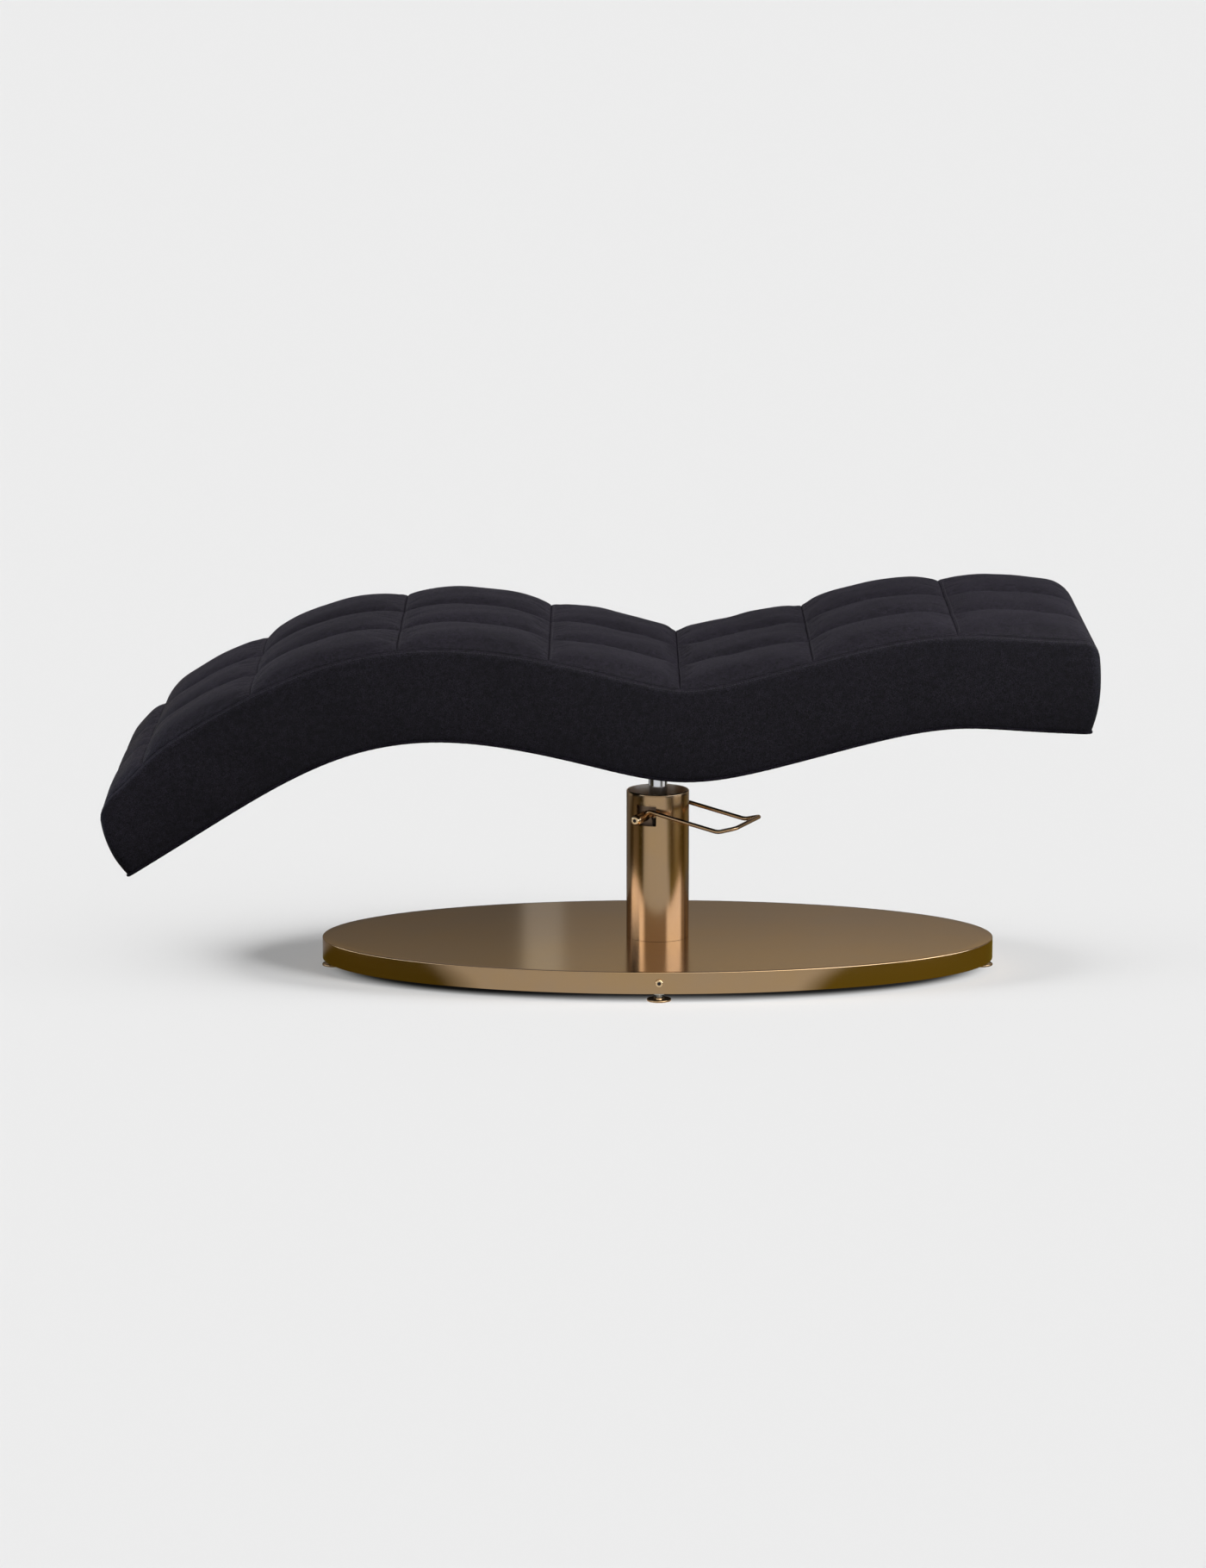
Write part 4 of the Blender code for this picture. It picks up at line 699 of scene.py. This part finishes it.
# Boxing band: the strip of leather that wraps the bed's sides and ends. It turns over the top edge to the seam of
# the quilted top, with a row of topstitching just outside that seam, and its lower edge is sewn to the piping.
def black_leather(name, sheen):
    """Corrected-grain cowhide: nearly black with a cool cast, a pebbled print over soft mottling, with the grooves
    between the pebbles painted darker as shade, and a low sheen. Real pebbles are 1 mm across; they are drawn at
    3 mm, because finer ones vanish at this size of picture."""
    made, tree, place = start(name, {"Specular IOR Level": sheen})
    wander = add(tree, "TexNoise", {"Scale": 160.0, "Detail": 2.0}, {"Vector": place}, 1)
    shifted = add(tree, "VectorMath", {"operation": "MULTIPLY_ADD", 1: (0.004, 0.004, 0.004)}, {0: wander, 2: place})
    pebbles = add(tree, "TexVoronoi", {"feature": "DISTANCE_TO_EDGE", "Scale": 320.0}, {"Vector": shifted})
    crowns = add(tree, "MapRange", {"interpolation_type": "SMOOTHSTEP", "From Max": 0.22}, {"Value": pebbles})
    mottle = add(tree, "TexNoise", {"Scale": 110.0, "Detail": 4.0, "Roughness": 0.6}, {"Vector": place})
    broad = add(tree, "TexNoise", {"Scale": 5.0, "Detail": 2.0}, {"Vector": place})
    shade = add(tree, "Math", {"operation": "MULTIPLY_ADD", 1: 0.45}, {0: broad, 2: mottle})
    tone_share = add(tree, "MapRange", {"From Min": 0.5, "From Max": 0.95}, {"Value": shade})
    tone = add(tree, "Mix", {"data_type": "RGBA", 6: linear("#131117"), 7: linear("#2c2832")}, {0: tone_share}, 2)
    # The grooves between the pebbles are painted near black: painted shade in the grain.
    grain_tone_with_painted_groove_shade = add(tree, "Mix", {"data_type": "RGBA", 6: linear("#0b0a0d")}, {0: crowns, 7: tone}, 2)
    dull = add(tree, "MapRange", {"From Min": 0.3, "From Max": 0.7, "To Min": 0.5, "To Max": 0.62}, {"Value": mottle})
    rough = add(tree, "Math", {"operation": "MULTIPLY_ADD", 1: -0.08}, {0: crowns, 2: dull})
    grain = add(tree, "Bump", {"Strength": 0.6, "Distance": 0.0008}, {"Height": crowns})
    relief = add(tree, "Bump", {"Strength": 0.25, "Distance": 0.0015}, {"Height": mottle, "Normal": grain})
    return finished(made, {"Base Color": grain_tone_with_painted_groove_shade, "Roughness": rough, "Normal": relief})


def band_rows(profile, outline, facing):
    """Rows of a wall round the bed: the outline moved in by each profile point's inset, at its height."""
    inset, up = (v[:, None] for v in np.array(profile, float).T)
    return bed_points(outline[:, 0] - inset * facing[:, 0], outline[:, 1] - inset * facing[:, 1], up)


def walked(line):
    """The length walked along a line of points, up to each of them."""
    return np.concatenate([[0], np.cumsum(np.linalg.norm(np.diff(line, axis=0), axis=1))])


def ripple(distance, spacing, seed):
    """An uneven wave along a line, between about -1 and 1: the mean of six sines whose wavelengths lie round the
    spacing, each with its own start."""
    source = np.random.default_rng(seed)
    lengths = spacing * source.uniform(0.6, 1.7, 6)
    starts = source.uniform(0, 2 * math.pi, 6)
    return sum(np.sin(2 * math.pi * distance / n + s) for n, s in zip(lengths, starts)) / 3.2


leather = black_leather("grained black leather", 0.09)
piping_r = 0.0025
seam_inset, edge_r_up, ditch = 0.0075, 0.0095, 0.0009
band_low, tuck, tuck_height, lining_inset = 2 * piping_r + 0.0003, 0.0030, 0.060, 0.0045
# The band's section as (inset, height): its turned-under edge over the piping, its side, which is pulled in by the
# tuck at the bottom, its turn over the top edge, and its way down inside the seam to the back of its lining.
turned_under = [(tuck + 0.0022, band_low + 0.0010), (tuck + 0.0017, band_low - 0.0008),
                (tuck + 0.0006, band_low - 0.0010)]
side_ups = np.linspace(band_low + 0.004, bed_depth - edge_r_up, 34)[:-1]
turn_over = arc((0, 0), 1, 180, 90, 12)
into_seam = [(seam_inset + 0.0006, bed_depth - 0.0006), (seam_inset + 0.0007, bed_depth - ditch),
             (seam_inset - 0.0020, bed_depth - ditch - 0.002), (lining_inset, bed_depth - 0.012),
             (lining_inset, bed_depth / 2)]
profile = turned_under + [(tuck, band_low + 0.0006)]
profile += [(tuck * max(0, 1 - (up - band_low) / tuck_height) ** 2, up) for up in side_ups]
profile += [(seam_inset + seam_inset * x, bed_depth - edge_r_up + edge_r_up * y) for x, y in turn_over]
profile += into_seam
outline, facing = plan_outline(0.0045, 10)
walk = walked(outline)
wall = band_rows(profile, outline, facing)
up_of_row = np.array(profile)[:, 1:]
row = np.arange(len(profile))[:, None]
outer_rows = (row >= len(turned_under)) & (row < len(profile) - len(into_seam))
gather_height, soft_height = 0.00035, 0.0007
below_seam = np.clip(bed_depth - up_of_row, 0, bed_depth)
gathers = ripple(walk, 0.016, 11) * gather_height * np.exp(-below_seam / 0.022) * np.clip(below_seam / 0.004, 0, 1)
soft = ripple(walk + 0.6 * up_of_row, 0.21, 12) * soft_height * fade(np.abs(up_of_row / bed_depth - 0.5) * 2)
probe = 0.001
outward = band_rows([(inset - probe, up) for inset, up in profile], outline, facing) - wall
wall = wall + outward / probe * ((gathers + soft) * outer_rows)[..., None]
band = build("leather_boxing_band", [patch(wall, wrap_rows=True, wrap_columns=True)], leather, 50)
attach(band, "bed")
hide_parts("side_band")


# Piping: a thin cord covered in the same leather, sewn in along the bottom edge all the way round.
outline, facing = plan_outline(0.004, 12)
line = band_rows([(piping_r, piping_r)], outline, facing)[0]
thick = piping_r * (1 + 0.05 * ripple(walked(line), 0.012, 21))
dull_leather = black_leather("grained black leather, folded strip", 0.02)
piping = build("leather_bottom_piping", [tube(line, thick, 14, closed=True)], dull_leather, 60)
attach(piping, "bed")
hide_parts("bottom_piping")


# Quilted top: one leather panel backed with wadding, sewn through in three rows and eight lengths. Each block is
# stuffed to a soft crown; a cloth simulation then lets the leather slacken a little between its sewn lines.
seam_shares = (0, 0.069, 0.1945, 0.3125, 0.435, 0.5805, 0.745, 0.8685, 1)
panel_spacing, blank_spacing = 0.0052, 0.0075
quilt_rows, quilt_crown = 3, 0.025
crown_flatness, crown_roundness, seam_rise_share = 2.6, 0.56, 0.14
cross_roundness, cross_rise_share = 0.66, 0.19
beside_seam = np.array([0, 0.0006, 0.0012, 0.002, 0.003, 0.004, 0.005, 0.0065, 0.0085, 0.011, 0.014])


def seam_lines(seams, spacing):
    """Places between seams: fixed small steps beside each seam, and even steps of the spacing between them."""
    lines = []
    for first, last in zip(seams, seams[1:]):
        inner = np.linspace(first + beside_seam[-1], last - beside_seam[-1],
                            2 + int((last - first - 2 * beside_seam[-1]) / spacing))
        lines += [first + beside_seam, inner[1:-1], last - beside_seam[:0:-1]]
    return np.concatenate(lines + [[seams[-1]]])


def block_rise(place, seams, roundness, rise_share):
    """Rise across each block, and the distance to its nearest seam. A stuffed block rises steeply beside its seams
    and is flat in the middle; an inner seam rides up a little between its crossings, the panel's edges don't."""
    block = np.searchsorted(seams[1:-1], place, side="right")
    width = seams[block + 1] - seams[block]
    share = np.clip((place - seams[block]) / width, 0, 1)
    seam = np.where(block == 0, fade(1 - share), 1) * np.where(block == len(seams) - 2, fade(share), 1)
    crown = (1 - np.abs(2 * share - 1) ** crown_flatness) ** roundness
    seam = rise_share * seam
    return seam + (1 - seam) * crown, np.minimum(share, 1 - share) * width


top_inset = seam_inset + 0.0009
half_top = bed_width / 2 - top_inset
cross_seams = bed_length * np.array(seam_shares)
cross_seams[[0, -1]] = top_inset, bed_length - top_inset
long_seams = np.linspace(-half_top, half_top, quilt_rows + 1)


def quilt_grid(s_line, a_line):
    """The panel's points on a grid of places along and across, with the distances to the cross and long seams."""
    s, a = np.meshgrid(s_line, a_line, indexing="ij")
    rise_s, from_cross = block_rise(s, cross_seams, cross_roundness, cross_rise_share)
    rise_a, from_long = block_rise(a, long_seams, crown_roundness, seam_rise_share)
    across = a / half_top * half_width(s_line, top_inset)[:, None]
    rise = quilt_crown * rise_s * rise_a
    rise[[0, -1]] = 0
    rise[:, [0, -1]] = 0
    return s, a, across, rise, from_cross, from_long


def slackened(points, sewn, spare, frames):
    """How far each point of a grid of leather moves when it is held along its sewn lines, given spare length and
    blown up from below: a cloth simulation without gravity."""
    rows, columns = points.shape[:2]
    sheet = build("leather_blank", [patch(points)], leather)
    order = np.empty(len(sheet.data.vertices) * 3)
    sheet.data.vertices.foreach_get("co", order)
    group = sheet.vertex_groups.new(name="sewn")
    group.add(np.flatnonzero(sewn.reshape(-1)).tolist(), 1.0, "ADD")
    cloth = sheet.modifiers.new("cloth", "CLOTH")
    cloth.settings.quality = 6
    cloth.settings.mass = 0.4
    cloth.settings.tension_stiffness = cloth.settings.compression_stiffness = 20
    cloth.settings.shear_stiffness = 8
    cloth.settings.bending_stiffness = 0.6
    cloth.settings.shrink_min = -spare
    cloth.settings.vertex_group_mass = "sewn"
    cloth.settings.use_pressure = True
    cloth.settings.uniform_pressure_force = 4.0
    cloth.settings.effector_weights.gravity = 0
    cloth.collision_settings.use_collision = False
    cloth.point_cache.frame_start, cloth.point_cache.frame_end = 1, frames
    for frame_number in range(1, frames + 1):
        bpy.context.scene.frame_set(frame_number)
    moved = np.empty(len(order))
    sheet.evaluated_get(bpy.context.evaluated_depsgraph_get()).data.vertices.foreach_get("co", moved)
    bpy.context.scene.frame_set(1)
    bpy.data.objects.remove(sheet)
    return (moved - order).reshape(rows, columns, 3)


s_line, a_line = seam_lines(cross_seams, panel_spacing), seam_lines(long_seams, panel_spacing)
s_grid, a_grid, across, rise, from_cross, from_long = quilt_grid(s_line, a_line)
near_seam = np.minimum(from_cross, from_long)


def puckers(distance, along_seam, seams, place, seed):
    """Small puckers beside each seam: an uneven wave along it, strongest 3 mm away and gone by about 40 mm."""
    nearest = np.abs(place[..., None] - seams).argmin(-1)
    waves = sum(np.where(nearest == k, ripple(along_seam, 0.011, seed + k)
                         + 0.7 * ripple(along_seam, 0.023, seed + 50 + k), 0) for k in range(len(seams)))
    return waves * np.exp(-distance / 0.011) * np.clip(distance / 0.003, 0, 1)


puckered = puckers(from_cross, a_grid, cross_seams, s_grid, 31) + puckers(from_long, s_grid, long_seams, a_grid, 71)
pucker_height, hollow_height, ditch_width = 0.0004, 0.0006, 0.0008
away = np.clip(near_seam / 0.03, 0, 1)
soft = ripple(s_grid + 0.35 * a_grid, 0.085, 91) + ripple(a_grid - 0.3 * s_grid, 0.1, 92)
on_edge = np.zeros(rise.shape, bool)
on_edge[[0, -1]] = on_edge[:, [0, -1]] = True
rise = rise + np.where(on_edge, 0, pucker_height * puckered + hollow_height * away * soft)
rise = rise - ditch * np.exp(-(near_seam / ditch_width) ** 2)
top = bed_points(s_grid, across, bed_depth + rise)

coarse_s, coarse_a = (
    np.unique(np.concatenate([np.linspace(first, last, 1 + round((last - first) / blank_spacing))
                              for first, last in zip(seams, seams[1:])]).round(7))
    for seams in (cross_seams, long_seams))
s, a, wide, coarse_rise, to_cross, to_long = quilt_grid(coarse_s, coarse_a)
blank = bed_points(s, wide, bed_depth + coarse_rise)
sewn_reach, spare_share, frames, furthest = 0.001, 0.012, 20, 0.0025
slack = slackened(blank, np.minimum(to_cross, to_long) < sewn_reach, spare_share, frames)
size = np.linalg.norm(slack, axis=-1, keepdims=True)
slack = slack * (furthest * np.tanh(size / furthest) / np.maximum(size, 1e-9))
rows = np.interp(s_line, coarse_s, np.arange(len(coarse_s)))
columns = np.interp(a_line, coarse_a, np.arange(len(coarse_a)))
r = np.minimum(rows.astype(int), len(coarse_s) - 2)
c = np.minimum(columns.astype(int), len(coarse_a) - 2)
u, v = (rows - r)[:, None, None], (columns - c)[None, :, None]
corner = [[slack[r + i][:, c + j] for j in (0, 1)] for i in (0, 1)]
top = top + ((corner[0][0] * (1 - v) + corner[0][1] * v) * (1 - u)
             + (corner[1][0] * (1 - v) + corner[1][1] * v) * u)

skirt_up = bed_depth - ditch - np.array([0.018, 0.010])
edge_line = half_width(s_line, top_inset)[:, None]
near = bed_points(s_line[:, None], -edge_line, skirt_up)
far = bed_points(s_line[:, None], edge_line, skirt_up[::-1])
rings = np.concatenate([near, top, far], axis=1)
quilt = build("quilted_leather_top", [patch(rings, wrap_columns=True, caps=True)], leather, 60)
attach(quilt, "bed")
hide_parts("quilted_top")


# Topstitching: bonded black thread in 3.6 mm stitches, along the turned-over edge and beside each cross seam.
# Bonded thread is a little shinier than the leather, and shows the twist of its plies.
thread = patterned("bonded black thread", {"Base Color": linear("#26242a"), "Specular IOR Level": 0.35}, "TexWave",
                   {"Scale": 900.0, "Distortion": 1.0}, dull=(0.4, 0.55))
stitch_length, stitch_gap, thread_r = 0.0036, 0.0012, 0.00042


def stitches(line, outward, closed=False):
    """A row of stitches on a line of points: each is a small bean, four rings of six points, half sunk in the
    leather, laid along the line and humped along the outward direction."""
    if closed:
        line, outward = np.concatenate([line, line[:1]]), np.concatenate([outward, outward[:1]])
    run = walked(line)
    spots = np.arange(stitch_gap, run[-1] - stitch_length, stitch_length + stitch_gap) + stitch_length / 2
    centre, before, after, out = (
        np.stack([np.interp(spots + shift, run, values[:, k]) for k in range(3)], -1)
        for shift, values in ((0, line), (-stitch_length / 2, line), (stitch_length / 2, line), (0, outward)))
    ahead = (after - before) / np.linalg.norm(after - before, axis=1, keepdims=True)
    side = np.cross(ahead, out)
    side = side / np.linalg.norm(side, axis=1, keepdims=True)
    out = np.cross(side, ahead)
    u = np.array([-0.5, -0.36, 0.36, 0.5])
    girth = np.array([0.25, 1.0, 1.0, 0.25]) * thread_r
    hump = np.array([-0.6, 0.35, 0.35, -0.6]) * thread_r
    turn = np.arange(6) * math.pi / 3
    grid = (centre[:, None, None] + ahead[:, None, None] * (u * stitch_length)[None, :, None, None]
            + out[:, None, None] * (hump[:, None] + girth[:, None] * np.sin(turn))[None, :, :, None]
            + side[:, None, None] * (girth[:, None] * np.cos(turn))[None, :, :, None])
    return [patch(bean, wrap_columns=True, caps=True) for bean in grid]


stitch_turn, stitch_beside = math.radians(180 - 42), 0.0042
outline, facing = plan_outline(0.004, 12)
spot = np.array([seam_inset + seam_inset * math.cos(stitch_turn),
                 bed_depth - edge_r_up + edge_r_up * math.sin(stitch_turn)])
line, outer = band_rows([spot, spot + probe * np.array([math.cos(stitch_turn), math.sin(stitch_turn)])],
                        outline, facing)
rows_of_thread = stitches(line, outer - line, closed=True)
for seam in cross_seams[1:-1]:
    k = int(np.argmin(np.abs(s_line - seam - stitch_beside)))
    row = top[k, 6:-6]
    outward = np.cross(top[k + 1, 6:-6] - top[k - 1, 6:-6], top[k, 7:-5] - top[k, 5:-7])
    rows_of_thread += stitches(row, outward)
threads = build("topstitch_threads", rows_of_thread, thread, 60)
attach(threads, "bed")


# Studio: a pale floor under a large overhead softbox, with weak light from all round. Cards that only
# reflections see give the metal its edges. Their tones were matched to the photograph from the front.
def floor_paper():
    """Matt pale paper, with a weak glow in place of the light that a studio's walls throw back on it. Under the base
    a shadow is painted in its colour and glow: in full deeper than 60 mm inside the rim, fading out to 4 mm inside
    it."""
    made, tree, place = start("pale studio floor", {"Roughness": 1.0, "Specular IOR Level": 0.0,
                                                    "Emission Strength": 0.15})
    from_base = add(tree, "VectorMath", {"operation": "MULTIPLY_ADD", 1: (1, 1, 0), 2: (-column_x, 0, 0)}, {0: place})
    scaled = add(tree, "VectorMath", {"operation": "MULTIPLY", 1: (1 / half_long, 1 / half_wide, 0)}, {0: from_base})
    oval = add(tree, "VectorMath", {"operation": "LENGTH"}, {0: scaled}, "Value")
    reach = add(tree, "VectorMath", {"operation": "LENGTH"}, {0: from_base}, "Value")
    past_rim = add(tree, "Math", {"operation": "SUBTRACT", 1: 1.0}, {0: oval})
    past_rim = add(tree, "Math", {"operation": "MULTIPLY"}, {0: past_rim, 1: reach})
    # Painted shadow under the base: the floor's colour and glow fall to dark inside the rim's oval.
    clear_of_painted_shadow = add(tree, "MapRange", {"interpolation_type": "SMOOTHSTEP", "From Min": -0.06, "From Max": -0.004},
                     {"Value": past_rim})
    tone = add(tree, "Mix", {"data_type": "RGBA", 6: linear("#3a3a3a"), 7: linear("#cccccc")}, {0: clear_of_painted_shadow}, 2)
    glow = add(tree, "Mix", {"data_type": "RGBA", 6: (0, 0, 0, 1), 7: (1, 1, 1, 1)}, {0: clear_of_painted_shadow}, 2)
    return finished(made, {"Base Color": tone, "Emission Color": glow})


def rectangle(points):
    """Four corners, two by two, as a grid of points."""
    return np.array(points, float).reshape(2, 2, 3)


floor_half = 120.0
floor = build("studio_floor", [patch(rectangle([(x, y, 0) for y in (-floor_half, floor_half)
                                              for x in (-floor_half, floor_half)]))], floor_paper())
floor.visible_diffuse = False     # no light from the floor reaches the leather
lit_floor = bpy.data.collections.new("floor alone")
lit_floor.objects.link(floor)
lit_object = bpy.data.collections.new("all but the floor")
lit_object.objects.link(floor)
lit_object.collection_objects[0].light_linking.link_state = "EXCLUDE"

world = bpy.data.worlds.new("studio")
bpy.context.scene.world = world
world.use_nodes = True
tree = world.node_tree
tree.nodes.clear()
camera_ray = add(tree, "LightPath", {}, {}, "Is Camera Ray")
glossy_ray = add(tree, "LightPath", {}, {}, "Is Glossy Ray")
through_ray = add(tree, "LightPath", {}, {}, "Is Transmission Ray")
shown = add(tree, "Math", {"operation": "MAXIMUM"}, {0: camera_ray, 1: glossy_ray})
shown = add(tree, "Math", {"operation": "MAXIMUM"}, {0: shown, 1: through_ray})
lighting = add(tree, "Background", {"Color": linear("#ffffff"), "Strength": 0.06}, {})
backdrop = add(tree, "Background", {"Color": linear("#ececec"), "Strength": 1.0}, {})
mixed = add(tree, "MixShader", {}, {0: shown, 1: lighting, 2: backdrop})
tree.links.new(mixed, tree.nodes.new("ShaderNodeOutputWorld").inputs["Surface"])


def sun(name, strength, spread, azimuth, elevation, lights, shades=None):
    """A large soft lamp far away, at an azimuth round from the viewer and an elevation, in degrees. The object and
    the floor under it have lamps of their own. Where shades are given, nothing else throws a shadow in the lamp:
    in the floor's lamps that is the base's cover alone."""
    lamp = bpy.data.lights.new(name, "SUN")
    lamp.energy = strength
    lamp.angle = math.radians(spread)
    made = bpy.data.objects.new(name, lamp)
    made.rotation_euler = (math.radians(90 - elevation), 0, math.radians(azimuth))
    made.visible_glossy = False
    made.light_linking.receiver_collection = lights
    made.light_linking.blocker_collection = shades
    bpy.context.scene.collection.objects.link(made)


low_things = bpy.data.collections.new("base near the floor")
low_things.objects.link(cover)
sun("overhead softbox light", 2.9, 48, 10, 76, lit_object)
sun("front fill light", 0.6, 60, -10, 18, lit_object)
sun("back fill light", 0.5, 60, 175, 18, lit_object)
sun("low floor light from the front right", 8.5, 24, 54, 9, lit_floor, low_things)
sun("low floor light from the right", 8.5, 24, 84, 9, lit_floor, low_things)
sun("low floor light from the left", 4.2, 24, -80, 10, lit_floor, low_things)


def stops(tree, share, stages):
    """A ramp whose colours are set at shares of its input."""
    ramp = add(tree, "ValToRGB", {}, {"Fac": share})
    elements = ramp.node.color_ramp.elements
    elements.remove(elements[1])
    for k, (place, colour) in enumerate(stages):
        element = elements[0] if k == 0 else elements.new(place)
        element.position, element.color = place, colour
    return ramp


def grey(level):
    """A light of one level in red, green and blue."""
    return (level, level, level, 1.0)


def azimuth_share(tree, place):
    """The azimuth of a point round the column as a share of a turn: 0.5 towards the viewer, more towards +X."""
    moved = add(tree, "VectorMath", {"operation": "SUBTRACT", 1: (column_x, 0, 0)}, {0: place})
    turned_round = add(tree, "Mapping", {"Rotation": (0, 0, math.pi / 2)}, {"Vector": moved})
    return add(tree, "TexGradient", {"gradient_type": "RADIAL"}, {"Vector": turned_round})


def card(name, points, glow):
    """A card that only reflections see: it throws no light or shadow on anything. Its glow is worked out from a
    node tree and the place of a point on it."""
    look, tree, place = start(name.replace("_", " "), {"Base Color": (0, 0, 0, 1), "Specular IOR Level": 0.0,
                                                       "Emission Strength": 1.0})
    made = build(name, [patch(points)], finished(look, {"Emission Color": glow(tree, place)}))
    for flag in ("visible_camera", "visible_diffuse", "visible_shadow", "visible_transmission",
                 "visible_volume_scatter"):
        setattr(made, flag, False)


def ring_card(name, inner, outer, stages, span=(-180, 180)):
    """A card round the column, between two (radius, height) edges, toned by azimuth in degrees."""
    radius, height = np.array([inner, outer]).T[..., None]
    turn = np.radians(np.linspace(span[0] - 90, span[1] - 90, 121))
    stages = [(0.5 + azimuth / 360, tone) for azimuth, tone in stages]
    card(name, circles(radius, height, turn, (column_x, 0)),
         lambda tree, place: stops(tree, azimuth_share(tree, place), stages))


brown_left, brown_right = (0.115, 0.088, 0.010, 1.0), (0.215, 0.170, 0.02, 1.0)
cool_left, cool_right = (4.0, 4.6, 5.6, 1.0), (3.7, 4.4, 5.6, 1.0)
ring_card("cloths_round_the_base", (0.2, 0.0006), (0.94, 0.0006), [
    (-125, grey(0.25)), (-100, grey(0.3)), (-94, brown_left), (-58, brown_left), (-49, grey(0.67)), (-30, grey(0.7)),
    (40, grey(0.72)), (47, brown_right), (112, brown_right), (125, grey(0.2))])
ring_card("cloths_beyond_the_base", (0.94, 0.0006), (1.78, 0.0006), [
    (-140, grey(0.2)), (-128, grey(0.2)), (-116, (0.06, 0.04, 0.01, 1)), (-104, (0.06, 0.04, 0.01, 1)),
    (-96, (0.2, 0.16, 0.1, 1)), (-78, (0.2, 0.16, 0.1, 1)),
    (-70, (0.07, 0.05, 0.004, 1)), (-56, (0.07, 0.05, 0.004, 1)), (-49, grey(0.6)), (-32, grey(0.7)),
    (31, grey(0.72)), (40, (0.28, 0.25, 0.17, 1)), (50, (0.12, 0.08, 0.02, 1)), (58, (0.12, 0.08, 0.02, 1)),
    (68, (0.26, 0.2, 0.08, 1)), (76, (0.26, 0.2, 0.08, 1)), (88, (0.13, 0.09, 0.01, 1)),
    (106, (0.08, 0.05, 0.004, 1)), (128, (0.3, 0.25, 0.12, 1)), (160, grey(0.14))])
ring_card("floor_and_flags_for_the_ram", (1.78, 0.0006), (60.0, 0.0006), [
    (-125, grey(0.4)), (-112, grey(0.4)), (-104, grey(0.01)), (-58, grey(0.01)), (-46, grey(0.75)), (24, grey(0.75)),
    (34, grey(0.12)), (56, grey(0.12)), (62, grey(0.95)), (90, grey(0.95)), (98, grey(0.01)), (160, grey(0.1))])
ring_card("low_flags", (3.0, 0.02), (3.0, 0.36), [(-180, grey(0.09)), (180, grey(0.09))])
ring_card("upright_softboxes", (3.0, 0.36), (3.0, 0.95), [
    (-116, grey(0.8)), (-106, cool_left), (-58, cool_left), (-46, grey(0.8)), (28, grey(0.8)), (38, cool_right),
    (90, cool_right), (100, grey(0.8))])
ring_card("high_softbox", (2.9, 1.4), (1.3, 2.8),
          [(-14, grey(0.9)), (20, grey(2.6)), (50, grey(5.5)), (100, grey(5.5)), (110, grey(0.8))], (-14, 110))


def low_back_glow(tree, place):
    """Tones by height, warmest and brightest between 0.43 and 0.48 m, times tones across, with one cool bright
    strip. They were matched to what the base's top mirrors in the photograph."""
    height = stops(tree, add(tree, "SeparateXYZ", {}, {0: place}, 2), [
        (0.24, (0.26, 0.26, 0.24, 1)), (0.34, (0.32, 0.30, 0.26, 1)), (0.43, (0.56, 0.50, 0.34, 1)),
        (0.48, (0.56, 0.50, 0.34, 1)), (0.6, (0.33, 0.32, 0.35, 1))])
    side = add(tree, "MapRange", {"From Min": -0.5, "From Max": 0.5},
               {"Value": add(tree, "SeparateXYZ", {}, {0: place})})
    side = stops(tree, side, [
        (0.0, grey(0.60)), (0.325, grey(0.60)), (0.345, (1.42, 1.56, 1.76, 1)), (0.41, (1.42, 1.56, 1.76, 1)),
        (0.43, grey(0.94)), (0.8, grey(1.06)), (1.0, grey(1.13))])
    return add(tree, "Mix", {"data_type": "RGBA", "blend_type": "MULTIPLY", 0: 1.0}, {6: height, 7: side}, 2)


def upper_back_glow(tree, place):
    """Dimmer to the right, for the sheen of the leather."""
    side = add(tree, "MapRange", {"From Min": -1.2, "From Max": 1.2},
               {"Value": add(tree, "SeparateXYZ", {}, {0: place})})
    return stops(tree, side, [(0.1, (0.30, 0.29, 0.32, 1)), (0.5, (0.30, 0.29, 0.32, 1)),
                              (0.75, (0.19, 0.185, 0.205, 1))])


back_y, back_half, back_low, back_seam, back_high = 1.3, 4.0, 0.01, 0.54, 3.0
for name, low_z, high_z, glow in (("graded_back_card", back_low, back_seam, low_back_glow),
                                  ("upper_back_card", back_seam, back_high, upper_back_glow)):
    card(name, rectangle([(x, back_y, z) for z in (low_z, high_z) for x in (-back_half, back_half)]), glow)


# Camera: a long lens far away from the bed's long side, looking down by 11 degrees. Its place, angle and lens were
# fitted to the oval of the base, the column and the feet in the photograph.
camera_pitch = 11.064
camera_data = bpy.data.cameras.new("camera")
camera_data.lens = 130.4
camera_data.sensor_width = 36.0
camera = bpy.data.objects.new("camera", camera_data)
camera.location = (0.007, -10.677, 2.443)
camera.rotation_euler = (math.radians(90 - camera_pitch), 0, 0)
bpy.context.scene.collection.objects.link(camera)
bpy.context.scene.camera = camera
bpy.context.scene.view_settings.view_transform = "Standard"
